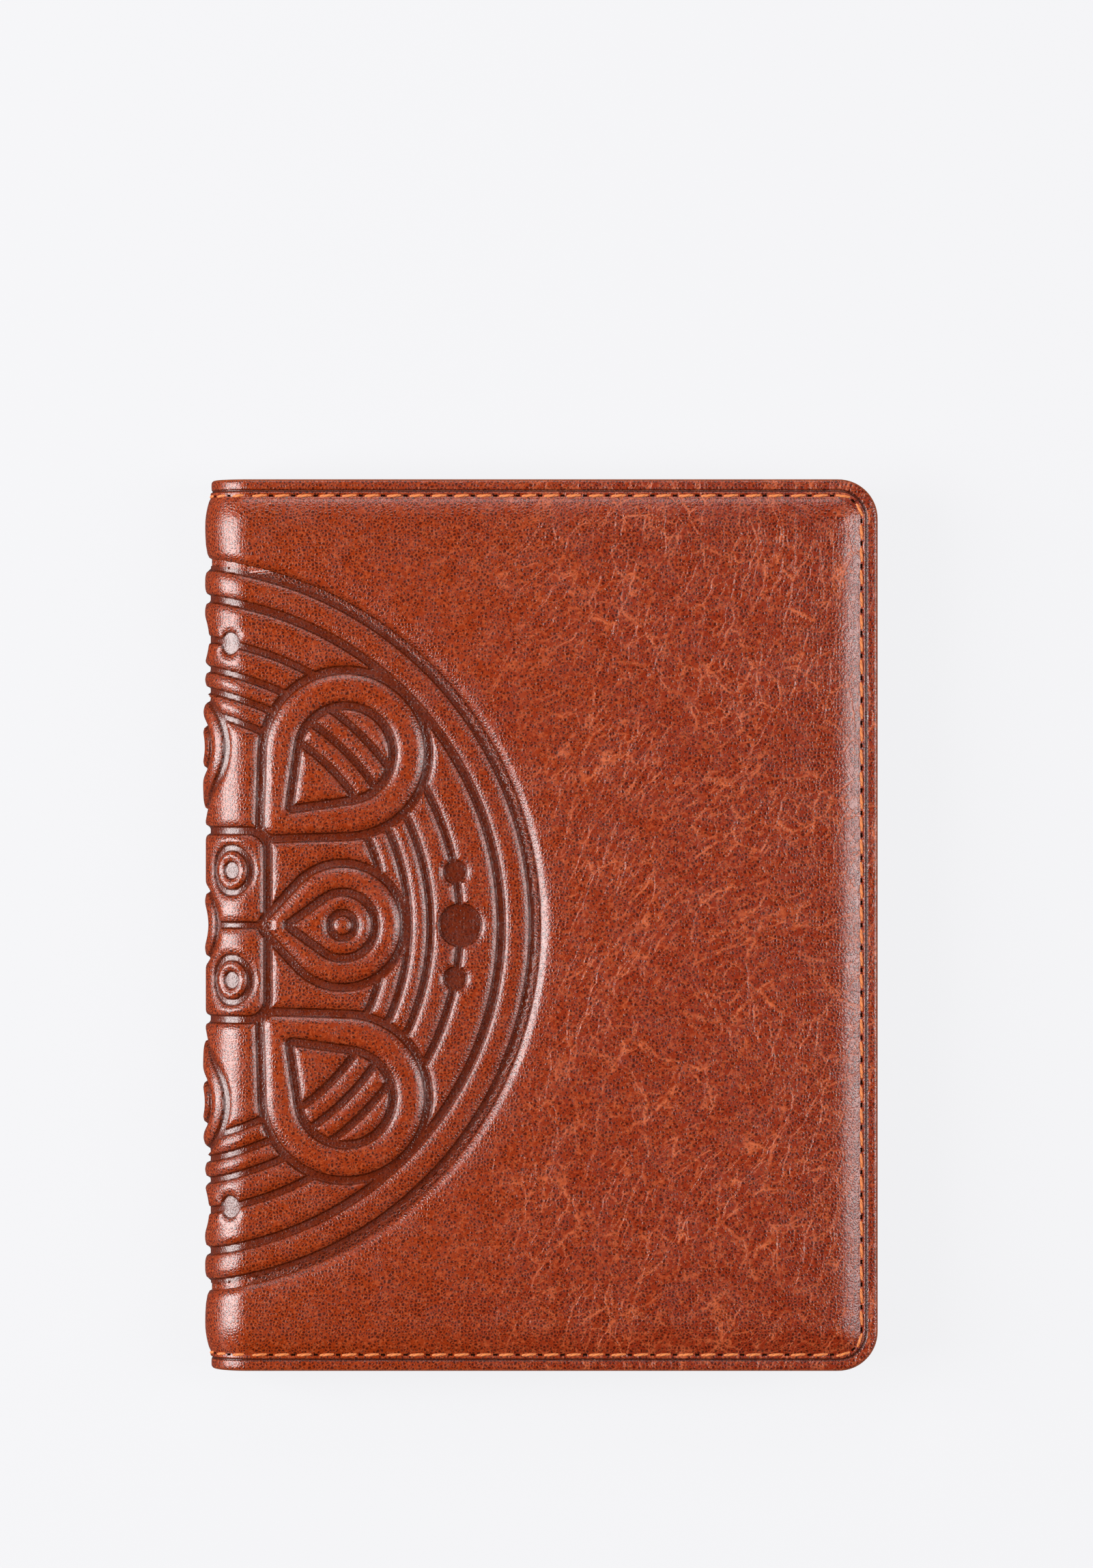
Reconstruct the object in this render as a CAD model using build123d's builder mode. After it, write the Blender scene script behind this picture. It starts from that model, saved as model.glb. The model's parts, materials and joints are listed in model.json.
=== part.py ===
"""A folding leather passport holder, closed and lying on its back cover.

Two padded covers are joined by a round, soft spine. Each cover is a leather skin pressed over a foam pad
and sewn, along its three free edges, to a lining and to a sleeve that takes one board of a passport. The
front sleeve also carries two stepped card pockets. The soft spine is cut into equal strips, so that it
rolls flat when the holder opens.

Millimetres. +X from spine to fore edge, +Y along the spine, +Z from back cover to front cover. The origin
is at the middle of the holder's footprint, on the surface that it lies on.
"""

import os
from math import atan2, cos, degrees, radians, sin

from build123d import *

# Overall sizes
cover_height = 135.0
cover_width = 102.5
closed_thickness = 14.4
corner_radius = 6.0

# Layers, from the outside in
leather = 1.4
padding = 0.8
lining = 0.5
sleeve_leather = 0.8
card_leather = 0.7

# Seam that runs round the three free edges and across the spine
seam_inset = 2.5
seam_channel_width = 1.2
seam_channel_depth = 0.2
stitch_pitch = 3.4
stitch_length = 2.6
inner_stitch_length = 1.6
thread_width = 0.5
thread_height = 0.4

# Padded field inside the seam
padding_inset = 4.8
field_wall = 0.7
field_chamfer = 0.6

# Sleeve for a passport board
board_room = 0.4
cavity_inset = 4.1
sleeve_wall = 0.5
sleeve_mouth_x = -23.0
sleeve_mouth_sweep = 6.0
edge_chamfer = 0.2

# Card pockets on the front sleeve
card_pocket_width = 60.0
card_pocket_inset = 5.2
card_pocket_corner = 3.0
card_seam_inset = 1.4
card_step = 0.5
front_card_wall = 2.2
card_room = 0.2
rear_mouth_y = 14.0
front_mouth_y = 0.0

# Spine that rolls flat in equal bends
fold_count = 3
stitch_clearance = 0.02

# Worked out from the sizes above
spine_radius = closed_thickness / 2
fore_edge_x = cover_width / 2
spine_x = -cover_width / 2 + spine_radius
middle_z = closed_thickness / 2
bend_step = 180 / fold_count
rim_drop = padding
shell_depth = leather + padding
lining_top = shell_depth + lining
sleeve_margin_top = lining_top + sleeve_leather
sleeve_field_top = sleeve_margin_top + board_room
field_inset = padding_inset - field_wall
sleeve_field_inset = cavity_inset - sleeve_wall
rear_margin_top = sleeve_field_top + card_leather
front_margin_top = rear_margin_top + card_leather
front_room = 2 * card_room
rear_card_wall = front_card_wall + card_step
rim_radius = spine_radius - rim_drop
stitches_per_strip = max(1, round(radians(bend_step) * rim_radius / stitch_pitch))
stitch_bend = bend_step / stitches_per_strip
lining_inner_radius = spine_radius - lining_top
outer_stitch_radius = rim_radius - seam_channel_depth
inner_stitch_top = (lining_inner_radius**2 - (inner_stitch_length / 2) ** 2) ** 0.5
inner_stitch_base = inner_stitch_top - thread_height - stitch_clearance
seam_y = cover_height / 2 - seam_inset
seam_x = fore_edge_x - seam_inset
middle_plane = Plane.XY.offset(middle_z)


def save(piece, name):
    """Names a finished piece and writes it to its own file."""
    piece.part.label = name
    export_step(piece.part, f"parts/{name}.step")


def panel_outline(level, inset, from_x=spine_x):
    """A cover's plan at a level, drawn in from its three free edges, with round fore-edge corners."""
    with BuildSketch(Plane.XY.offset(level)) as plan:
        with Locations(((from_x + fore_edge_x - inset) / 2, 0)):
            Rectangle(fore_edge_x - inset - from_x, cover_height - 2 * inset)
        fillet(plan.vertices().group_by(Axis.X)[-1], corner_radius - inset)
    return plan.sketch


def seam_channel_plan(level):
    """The pressed channel that the stitches lie in: a narrow band along the three free edges."""
    half = seam_channel_width / 2
    with BuildSketch(Plane.XY.offset(level)) as plan:
        add(panel_outline(0, seam_inset - half))
        add(panel_outline(0, seam_inset + half), mode=Mode.SUBTRACT)
    return plan.sketch


def spine_slice(inner_radius, outer_radius, start, end):
    """A slice of the round spine between two bend angles, counted in degrees from the back cover."""
    with BuildSketch(Plane.XZ) as plan:
        with BuildLine():
            outer = CenterArc((spine_x, middle_z), outer_radius, 270 - end, end - start)
            inner = CenterArc((spine_x, middle_z), inner_radius, 270 - end, end - start)
            Line(outer @ 0, inner @ 0)
            Line(outer @ 1, inner @ 1)
        make_face()
    return plan.sketch


def spine_leather_slice(start, end):
    """Adds one slice of the spine's leather: pressed rims at both ends, and a raised field over the foam."""
    inner_radius = spine_radius - shell_depth
    half_height = cover_height / 2
    extrude(spine_slice(inner_radius, rim_radius, start, end), amount=half_height, both=True)
    extrude(
        spine_slice(inner_radius, spine_radius, start, end),
        amount=half_height - field_inset,
        both=True,
    )
    extrude(
        spine_slice(inner_radius, spine_radius - leather, start, end),
        amount=half_height - padding_inset,
        both=True,
        mode=Mode.SUBTRACT,
    )
    for side in (-1, 1):
        with BuildPart(mode=Mode.PRIVATE) as channel:
            extrude(
                spine_slice(rim_radius - seam_channel_depth, spine_radius, start, end),
                amount=seam_channel_width / 2,
                both=True,
            )
        add(channel.part.moved(Location((0, side * seam_y, 0))), mode=Mode.SUBTRACT)


def sleeve_outline(level, inset):
    """The sleeve's plan: a cover's outline with a hollowed mouth on the side of the spine."""
    half_height = cover_height / 2 - inset
    far_x = fore_edge_x - inset
    with BuildSketch(Plane.XY.offset(level)) as plan:
        with BuildLine():
            mouth = ThreePointArc(
                (sleeve_mouth_x, -half_height),
                (sleeve_mouth_x + sleeve_mouth_sweep, 0),
                (sleeve_mouth_x, half_height),
            )
            Polyline(mouth @ 1, (far_x, half_height), (far_x, -half_height), mouth @ 0)
        make_face()
        fillet(plan.vertices().group_by(Axis.X)[-1], corner_radius - inset)
    return plan.sketch


def card_pocket_outline(level, mouth_y, inset=0.0):
    """A card pocket's plan, drawn in from its two sides and its foot; its mouth stays where it is."""
    far_x = fore_edge_x - card_pocket_inset - inset
    near_x = fore_edge_x - card_pocket_inset - card_pocket_width + inset
    foot_y = -cover_height / 2 + card_pocket_inset + inset
    with BuildSketch(Plane.XY.offset(level)) as plan:
        with Locations(((near_x + far_x) / 2, (foot_y + mouth_y) / 2)):
            Rectangle(far_x - near_x, mouth_y - foot_y)
        fillet(plan.vertices().group_by(Axis.Y)[0], card_pocket_corner - inset)
    return plan.sketch


def card_pocket(base, mouth_y, room, wall):
    """Adds a patch pocket whose margins lie on a base level and whose middle stands up by its room."""
    extrude(card_pocket_outline(base, mouth_y), amount=card_leather)
    extrude(card_pocket_outline(base, mouth_y, wall - card_step), amount=card_leather + room)
    extrude(card_pocket_outline(base, mouth_y, wall), amount=room, mode=Mode.SUBTRACT)


def stitches(level, places, length=stitch_length):
    """Adds straight stitches that lie on a level, one at each (x, y, angle)."""
    with BuildSketch(Plane.XY.offset(level)) as plan:
        for x, y, angle in places:
            with Locations(Location((x, y, 0), (0, 0, angle))):
                SlotOverall(length, thread_width)
    extrude(plan.sketch, amount=thread_height)


def along(line, pitch):
    """Stitch places along a line, one in the middle of each step of an even pitch."""
    count = round(line.length / pitch)
    places = []
    for step in range(count):
        share = (step + 1 / 2) / count
        point = line @ share
        tangent = line % share
        places.append((point.X, point.Y, degrees(atan2(tangent.Y, tangent.X))))
    return places


def spine_stitch(bend, radius, length):
    """Adds one pair of stitches across the spine at a bend angle, lying on a radius."""
    outward = Vector(-sin(radians(bend)), 0, -cos(radians(bend)))
    centre = Vector(spine_x, 0, middle_z) + outward * radius
    with BuildSketch(Plane(origin=centre, x_dir=(0, 1, 0), z_dir=outward)) as plan:
        with Locations((seam_y, 0), (-seam_y, 0)):
            SlotOverall(length, thread_width, rotation=90)
    extrude(plan.sketch, amount=thread_height)


# Seam line of a cover, from the spine round the fore edge and back to the spine
with BuildLine() as seam_line:
    FilletPolyline(
        (spine_x, seam_y),
        (seam_x, seam_y),
        (seam_x, -seam_y),
        (spine_x, -seam_y),
        radius=corner_radius - seam_inset,
    )
seam_places = along(seam_line.wire(), stitch_pitch)

# Back cover: leather, foam, lining and sleeve
with BuildPart() as back_leather:
    extrude(panel_outline(rim_drop, 0), amount=leather)
    extrude(panel_outline(0, field_inset), amount=shell_depth)
    extrude(panel_outline(leather, padding_inset), amount=padding, mode=Mode.SUBTRACT)
    extrude(
        seam_channel_plan(rim_drop),
        amount=seam_channel_depth,
        mode=Mode.SUBTRACT,
    )
    field_face = back_leather.faces().sort_by(Axis.Z)[0]
    chamfer(field_face.edges().sort_by(Axis.X)[1:], field_chamfer)
    spine_leather_slice(0, bend_step / 2)

with BuildPart() as back_padding:
    extrude(panel_outline(leather, padding_inset), amount=padding)
    extrude(
        spine_slice(spine_radius - shell_depth, spine_radius - leather, 0, bend_step / 2),
        amount=cover_height / 2 - padding_inset,
        both=True,
    )

with BuildPart() as back_lining:
    extrude(panel_outline(shell_depth, 0), amount=lining)
    extrude(
        spine_slice(spine_radius - lining_top, spine_radius - shell_depth, 0, bend_step / 2),
        amount=cover_height / 2,
        both=True,
    )

with BuildPart() as back_sleeve:
    extrude(sleeve_outline(lining_top, 0), amount=sleeve_leather)
    extrude(sleeve_outline(lining_top, sleeve_field_inset), amount=sleeve_leather + board_room)
    extrude(panel_outline(lining_top, cavity_inset), amount=board_room, mode=Mode.SUBTRACT)
    sleeve_face = back_sleeve.faces().sort_by(Axis.Z)[-1]
    chamfer(sleeve_face.edges(), edge_chamfer)

# Stitches of the back cover, outside and inside; the inner ones step up from the lining to the sleeve
mouth_clear_x = sleeve_mouth_x - stitch_length / 2 - edge_chamfer
on_sleeve = [p for p in seam_places if p[0] > sleeve_mouth_x + stitch_length / 2]
on_lining = [p for p in seam_places if p[0] < mouth_clear_x]

with BuildPart() as back_stitching:
    stitches(rim_drop + seam_channel_depth - thread_height, seam_places)
    spine_stitch(stitch_bend / 2, outer_stitch_radius, stitch_length)

with BuildPart() as back_inner_stitching:
    stitches(lining_top, on_lining)
    stitches(sleeve_margin_top, on_sleeve)
    spine_stitch(stitch_bend / 2, inner_stitch_base, inner_stitch_length)

# Front cover: the same layers, turned over about the middle plane
with BuildPart() as front_leather:
    mirror(back_leather.part, about=middle_plane)

with BuildPart() as front_padding:
    mirror(back_padding.part, about=middle_plane)

with BuildPart() as front_lining:
    mirror(back_lining.part, about=middle_plane)

with BuildPart() as front_sleeve:
    mirror(back_sleeve.part, about=middle_plane)

with BuildPart() as front_stitching:
    mirror(back_stitching.part, about=middle_plane)

with BuildPart() as front_inner_stitching:
    mirror(back_inner_stitching.part, about=middle_plane)

# Card pockets, drawn on the back sleeve's level and turned over with the front cover
with BuildPart() as rear_card_pocket_flat:
    card_pocket(sleeve_field_top, rear_mouth_y, card_room, rear_card_wall)

with BuildPart() as rear_card_pocket:
    mirror(rear_card_pocket_flat.part, about=middle_plane)

with BuildPart() as front_card_pocket_flat:
    card_pocket(rear_margin_top, front_mouth_y, front_room, front_card_wall)

with BuildPart() as front_card_pocket:
    mirror(front_card_pocket_flat.part, about=middle_plane)

card_near_x = fore_edge_x - card_pocket_inset - card_pocket_width + card_seam_inset
card_far_x = fore_edge_x - card_pocket_inset - card_seam_inset
card_foot_y = -cover_height / 2 + card_pocket_inset + card_seam_inset
with BuildLine() as card_seam:
    FilletPolyline(
        (card_near_x, rear_mouth_y - stitch_length),
        (card_near_x, card_foot_y),
        (card_far_x, card_foot_y),
        (card_far_x, rear_mouth_y - stitch_length),
        radius=card_pocket_corner - card_seam_inset,
    )
card_places = along(card_seam.wire(), stitch_pitch)
on_front_pocket = [p for p in card_places if p[1] < front_mouth_y - stitch_length / 2]
on_rear_pocket = [p for p in card_places if p[1] > front_mouth_y + stitch_length / 2]

with BuildPart() as card_stitching_flat:
    stitches(front_margin_top, on_front_pocket)
    stitches(rear_margin_top, on_rear_pocket)

with BuildPart() as card_stitching:
    mirror(card_stitching_flat.part, about=middle_plane)

os.makedirs("parts", exist_ok=True)
save(back_leather, "back_leather")
save(back_padding, "back_padding")
save(back_lining, "back_lining")
save(back_sleeve, "back_sleeve")
save(back_stitching, "back_stitching")
save(back_inner_stitching, "back_inner_stitching")
save(front_leather, "front_leather")
save(front_padding, "front_padding")
save(front_lining, "front_lining")
save(front_sleeve, "front_sleeve")
save(front_stitching, "front_stitching")
save(front_inner_stitching, "front_inner_stitching")
save(rear_card_pocket, "rear_card_pocket")
save(front_card_pocket, "front_card_pocket")
save(card_stitching, "card_stitching")

# Spine: each strip has leather, foam, lining and its stitches outside and inside
for strip in range(1, fold_count):
    start = (strip - 1 / 2) * bend_step
    end = (strip + 1 / 2) * bend_step

    with BuildPart() as spine_leather:
        spine_leather_slice(start, end)
    save(spine_leather, f"spine_leather_{strip}")

    with BuildPart() as spine_padding:
        extrude(
            spine_slice(spine_radius - shell_depth, spine_radius - leather, start, end),
            amount=cover_height / 2 - padding_inset,
            both=True,
        )
    save(spine_padding, f"spine_padding_{strip}")

    with BuildPart() as spine_lining:
        extrude(
            spine_slice(lining_inner_radius, spine_radius - shell_depth, start, end),
            amount=cover_height / 2,
            both=True,
        )
    save(spine_lining, f"spine_lining_{strip}")

    with BuildPart() as spine_stitching:
        for number in range(stitches_per_strip):
            stitch_at = start + (number + 1 / 2) * stitch_bend
            spine_stitch(stitch_at, outer_stitch_radius, stitch_length)
            spine_stitch(stitch_at, inner_stitch_base, inner_stitch_length)
    save(spine_stitching, f"spine_stitching_{strip}")

# Fold axes: on the outside of the spine, between two strips, where the leather keeps its length
for fold in range(1, fold_count + 1):
    bend = radians((fold - 1 / 2) * bend_step)
    fold_x = spine_x - spine_radius * sin(bend)
    fold_z = middle_z - spine_radius * cos(bend)
    print(f"fold_{fold}: x {fold_x:.4f}, z {fold_z:.4f}, turns {bend_step:.1f} degrees about -Y")
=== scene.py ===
"""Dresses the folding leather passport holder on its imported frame.

Every soft layer of the holder is drawn flat, in sheet coordinates, and then laid on the covers or wrapped
round the spine. Along the sheet runs s, from the middle of the spine to the fore edge of the front cover
(positive) or of the back cover (negative). Across it runs y, as in the frame. Outwards runs n, from the
outer face of the leather, so that every layer below that face has a negative n. These three are in
millimetres, and a mesh is turned into metres when it is laid on the holder.

Each mesh keeps at its points what the finishes read: skin (s, y and n), edge (distance inside the free
edge), groove (signed distance to what is pressed in) and, on thread and needle holes, strand.
"""
from __future__ import annotations

import json
import logging
import math
from dataclasses import dataclass, field, replace
from enum import Enum
from typing import Callable, Sequence

import bmesh
import bpy
import numpy as np
from mathutils import Matrix, Vector

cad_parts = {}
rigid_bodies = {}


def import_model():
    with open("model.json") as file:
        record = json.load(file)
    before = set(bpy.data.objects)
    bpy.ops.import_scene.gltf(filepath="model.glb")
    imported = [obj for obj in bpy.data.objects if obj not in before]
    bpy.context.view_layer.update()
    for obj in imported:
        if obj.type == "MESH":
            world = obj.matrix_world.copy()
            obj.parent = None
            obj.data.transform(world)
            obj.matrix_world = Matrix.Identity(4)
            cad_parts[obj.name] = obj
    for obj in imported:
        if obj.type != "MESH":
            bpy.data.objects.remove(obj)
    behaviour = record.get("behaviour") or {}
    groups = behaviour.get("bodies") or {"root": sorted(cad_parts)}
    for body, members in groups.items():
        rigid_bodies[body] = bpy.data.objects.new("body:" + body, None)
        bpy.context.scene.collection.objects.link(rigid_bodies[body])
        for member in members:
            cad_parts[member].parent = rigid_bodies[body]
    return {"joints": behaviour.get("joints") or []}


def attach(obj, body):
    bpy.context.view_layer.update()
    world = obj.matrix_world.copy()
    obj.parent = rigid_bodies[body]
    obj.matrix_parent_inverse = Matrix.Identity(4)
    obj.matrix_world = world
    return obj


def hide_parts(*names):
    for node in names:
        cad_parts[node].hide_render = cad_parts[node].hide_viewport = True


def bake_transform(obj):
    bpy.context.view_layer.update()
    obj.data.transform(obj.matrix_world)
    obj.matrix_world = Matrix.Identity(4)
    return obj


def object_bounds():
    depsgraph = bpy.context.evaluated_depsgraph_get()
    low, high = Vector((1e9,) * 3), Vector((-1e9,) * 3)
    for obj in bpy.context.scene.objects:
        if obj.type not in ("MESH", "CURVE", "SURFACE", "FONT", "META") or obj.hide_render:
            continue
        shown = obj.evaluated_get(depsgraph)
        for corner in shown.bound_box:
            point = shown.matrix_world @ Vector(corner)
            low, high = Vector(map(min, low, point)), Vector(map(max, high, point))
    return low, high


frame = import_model()
CAD_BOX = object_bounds()

LOG = logging.getLogger("passport_holder")
MM = 0.001
FAR_OFF = 9.0  # the largest distance that a mesh keeps, in millimetres
Array = np.ndarray
Height = Callable[[Array, Array], Array]  # the n of a surface, from s and y
Colour = tuple[float, float, float, float]
Socket = bpy.types.NodeSocket


# ---- Sizes ----

@dataclass(frozen=True)
class HolderSizes:
    """The holder's main sizes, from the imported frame, and its layers, in millimetres."""

    half_height: float = CAD_BOX[1][1] / MM
    fore_edge_x: float = CAD_BOX[1][0] / MM
    spine_edge_x: float = CAD_BOX[0][0] / MM
    thickness: float = CAD_BOX[1][2] / MM
    corner_radius: float = 6.0
    # Depths of the inner faces below the leather's outer face.
    leather: float = 1.4
    shell: float = 2.2
    lining: float = 2.7
    sleeve: float = 3.5
    sleeve_field: float = 3.9
    seam_inset: float = 2.5
    seam_corner: float = 3.5
    stitch_pitch: float = 3.4
    foam_inset: float = 4.9
    foam_ramp: float = 3.9
    folds: int = 3

    @property
    def radius(self) -> float:
        """Outer radius of the round spine."""
        return self.thickness / 2

    @property
    def spine_x(self) -> float:
        """X of the spine's axis, where the flat covers begin."""
        return self.spine_edge_x + self.radius

    @property
    def quarter(self) -> float:
        """Length along the sheet from the middle of the spine to a flat cover."""
        return self.radius * math.pi / 2

    @property
    def far(self) -> float:
        """Length along the sheet from the middle of the spine to a fore edge."""
        return self.quarter + self.fore_edge_x - self.spine_x


SIZES = HolderSizes()


class Side(Enum):
    """The two covers, by the sign of s on them."""

    BACK = -1
    FRONT = 1

    @property
    def label(self) -> str:
        """The cover's plain name."""
        return self.name.lower()

    @property
    def body(self) -> str:
        """The CAD body that the cover moves with."""
        return f"{self.label}_cover"


# ---- From the flat sheet to the holder ----

def bend_angle(s: Array) -> Array:
    """Angle of the sheet round the spine, in radians: 0 on the back cover, pi on the front cover."""
    return np.clip(math.pi / 2 + s / SIZES.radius, 0.0, math.pi)


def lay(s: Array, y: Array, n: Array) -> Array:
    """Lays sheet coordinates on the covers and round the spine.

    Args:
        s: places along the sheet.
        y: places across the sheet.
        n: heights above the leather's outer face.

    Returns:
        Points in the row frame, in millimetres, one row each.
    """
    theta = bend_angle(s)
    beyond = np.maximum(0.0, np.abs(s) - SIZES.quarter)
    reach = SIZES.radius + n
    x = SIZES.spine_x + beyond - reach * np.sin(theta)
    z = SIZES.radius - reach * np.cos(theta)
    return np.stack([x, y, z], axis=1)


NORMAL_STEP = 0.03


def lay_normals(height: Height, s: Array, y: Array, n: Array) -> Array:
    """Normals of the surface n = height(s, y), laid on the holder.

    Args:
        height: the surface.
        s: places along the sheet.
        y: places across the sheet.
        n: the heights at those places.

    Returns:
        Unit normals in the row frame, one row each.
    """
    step = NORMAL_STEP
    slope_s = (height(s + step, y) - height(s - step, y)) / (2 * step)
    slope_y = (height(s, y + step) - height(s, y - step)) / (2 * step)
    on_spine = np.abs(s) < SIZES.quarter
    slope_s = np.where(on_spine, slope_s * SIZES.radius / (SIZES.radius + n), slope_s)
    theta = bend_angle(s)
    zero = np.zeros_like(theta)
    along = np.stack([-np.cos(theta), zero, np.sin(theta)], axis=1)
    outward = np.stack([-np.sin(theta), zero, -np.cos(theta)], axis=1)
    across = np.stack([zero, zero + 1.0, zero], axis=1)
    normal = outward - along * slope_s[:, None] - across * slope_y[:, None]
    return normal / np.linalg.norm(normal, axis=1)[:, None]


# ---- Smooth curves and distances ----

def smooth(low: float, high: float, value: Array) -> Array:
    """Rises smoothly from 0 at low to 1 at high."""
    t = np.clip((value - low) / (high - low), 0.0, 1.0)
    return t * t * (3 - 2 * t)


def swell(value: Array) -> Array:
    """Rises from 0 at 0 to 1 at 1 as a stuffed edge does: steeply, then flattening."""
    t = np.clip(value, 0.0, 1.0)
    return 1 - (1 - t) ** 2


def round_over(distance: Array, radius: float) -> Array:
    """How far a rounded edge has dropped at a distance inside the edge."""
    t = np.clip(radius - distance, 0.0, radius)
    return radius - np.sqrt(np.maximum(radius * radius - t * t, 0.0))


def line_distance(a: Array, b: Array, start: tuple[float, float], end: tuple[float, float]) -> Array:
    """Distance from places (a, b) to a straight line between two points."""
    da, db = end[0] - start[0], end[1] - start[1]
    share = np.clip(((a - start[0]) * da + (b - start[1]) * db) / (da * da + db * db), 0.0, 1.0)
    return np.hypot(a - start[0] - share * da, b - start[1] - share * db)


def drop_distance(a: Array, b: Array, centre: tuple[float, float], toward: float,
                  radius: float, length: float, tip: float) -> Array:
    """Signed distance to a drop: a disc drawn out to a rounded tip.

    Args:
        a: first coordinates of the places.
        b: second coordinates of the places.
        centre: the disc's centre.
        toward: angle in radians in which the tip points.
        radius: the disc's radius.
        length: from the disc's centre to the tip's centre.
        tip: the tip's radius.

    Returns:
        The distances, negative inside.
    """
    x, y = a - centre[0], b - centre[1]
    along = x * math.cos(toward) + y * math.sin(toward)
    beside = np.abs(-x * math.sin(toward) + y * math.cos(toward))
    slant = (radius - tip) / length
    rise = math.sqrt(1 - slant * slant)
    reach = along * rise - beside * slant
    body = beside * rise + along * slant - radius
    disc = np.hypot(beside, along) - radius
    end = np.hypot(beside, along - length) - tip
    return np.where(reach < 0, disc, np.where(reach > rise * length, end, body))


def nearest(*distances: Array) -> Array:
    """The least of several distances at each place."""
    return np.minimum.reduce(distances)


def band(distance: Array, width: float) -> Array:
    """Distance to a band of a width along the line where a distance is 0."""
    return np.abs(distance) - width / 2


def grid_lines(*spans: tuple[float, float, float]) -> Array:
    """Grid lines along one direction, from spans of (start, end, largest step).

    Args:
        spans: stretches that follow one another.

    Returns:
        The places of the lines, in rising order.
    """
    lines: list[Array] = []
    for start, end, step in spans:
        count = max(1, math.ceil((end - start) / step - 1e-6))
        lines.append(np.linspace(start, end, count + 1))
    return np.unique(np.round(np.concatenate(lines), 6))


# ---- Outlines ----

@dataclass(frozen=True)
class Outline:
    """A rounded rectangle on the sheet, whose near side may be a cut that continues elsewhere."""

    near: float
    far: float
    low: float
    high: float
    far_radius: float = 0.0
    low_radius: float = 0.0
    cut_near: bool = False

    @property
    def flat(self) -> tuple[float, float]:
        """Width and length of the flat cut, in metres."""
        return (self.far - self.near) * MM, (self.high - self.low) * MM

    def radii(self) -> list[tuple[int, int, float]]:
        """The rounded corners, as (near -1 or far 1, low -1 or high 1, radius)."""
        corners = []
        if self.far_radius:
            corners += [(1, -1, self.far_radius), (1, 1, self.far_radius)]
        if self.low_radius:
            corners += [(-1, -1, self.low_radius), (1, -1, self.low_radius)]
        return corners

    def gaps(self, u: Array, y: Array, along: int, across: int) -> tuple[Array, Array]:
        """Distances to one side of each pair: far or near, and high or low."""
        side = self.far - u if along > 0 else u - self.near
        end = self.high - y if across > 0 else y - self.low
        return side, end

    def inside(self, u: Array, y: Array) -> Array:
        """Distance inside the outline's free edges.

        Args:
            u: places along the sheet, counted from the middle of the spine.
            y: places across the sheet.

        Returns:
            The distances, negative outside.
        """
        depth = np.minimum(self.far - u, np.minimum(self.high - y, y - self.low))
        if not self.cut_near:
            depth = np.minimum(depth, u - self.near)
        for along, across, radius in self.radii():
            side, end = self.gaps(u, y, along, across)
            a, b = radius - side, radius - end
            depth = np.where((a > 0) & (b > 0), radius - np.hypot(a, b), depth)
        return depth

    def rounded(self, u: Array, y: Array) -> tuple[Array, Array]:
        """Draws the square corners of a grid in to round ones."""
        u, y = u.copy(), y.copy()
        for along, across, radius in self.radii():
            side, end = self.gaps(u, y, along, across)
            a, b = radius - side, radius - end
            corner = (a > 1e-9) & (b > 1e-9)
            scale = np.maximum(a, b)[corner] / np.hypot(a, b)[corner]
            u[corner] += along * (a[corner] * scale - a[corner])
            y[corner] += across * (b[corner] * scale - b[corner])
        return u, y


def cover_outline(inset: float, radius: float) -> Outline:
    """Outline of a layer from the middle of the spine to the fore edge, open towards the spine.

    Args:
        inset: distance inside the leather's outline.
        radius: radius of its corners.

    Returns:
        The outline.
    """
    high = SIZES.half_height - inset
    return Outline(0.0, SIZES.far - inset, -high, high, far_radius=radius, cut_near=True)


def framed(outline: Outline, steps: Sequence[float], along: Array, across: Array) -> tuple[Array, Array]:
    """Grid lines both ways, with more of them close to the free edges.

    Args:
        outline: the layer's outline.
        steps: distances of the added lines from the edges.
        along: the middle's lines along the sheet.
        across: the middle's lines across the sheet.

    Returns:
        The lines along and across the sheet, in rising order and each only once.
    """
    inset = np.array(steps)
    near = inset[:0] if outline.cut_near else outline.near + inset
    lines = (near, outline.far - inset, along), (outline.low + inset, outline.high - inset, across)
    first, second = (np.unique(np.round(np.concatenate(parts), 5)) for parts in lines)
    return first, second


# ---- Meshes ----

def flat_grid(u_lines: Array, y_lines: Array) -> bmesh.types.BMesh:
    """A flat grid whose lines lie where they are asked to.

    Args:
        u_lines: places of the lines along the sheet.
        y_lines: places of the lines across the sheet.

    Returns:
        The grid, in sheet coordinates.
    """
    bm = bmesh.new()
    bmesh.ops.create_grid(bm, x_segments=len(u_lines) - 1, y_segments=len(y_lines) - 1, size=1.0)
    columns, rows = len(u_lines) - 1, len(y_lines) - 1
    for vert in bm.verts:
        column = round((vert.co.x + 1) / 2 * columns)
        row = round((vert.co.y + 1) / 2 * rows)
        vert.co = (u_lines[column], y_lines[row], 0.0)
    return bm


def coordinates(mesh: bpy.types.Mesh) -> Array:
    """The mesh's points, one row each."""
    flat = np.empty(len(mesh.vertices) * 3)
    mesh.vertices.foreach_get("co", flat)
    return flat.reshape(-1, 3)


def store(mesh: bpy.types.Mesh, name: str, values: Array) -> None:
    """Keeps a number or a vector at each point, for the finishes to read.

    Args:
        mesh: the mesh.
        name: the attribute's name.
        values: one value or one row for each point.
    """
    vector = values.ndim == 2
    attribute = mesh.attributes.new(name, "FLOAT_VECTOR" if vector else "FLOAT", "POINT")
    attribute.data.foreach_set("vector" if vector else "value", values.astype(np.float32).ravel())


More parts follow.
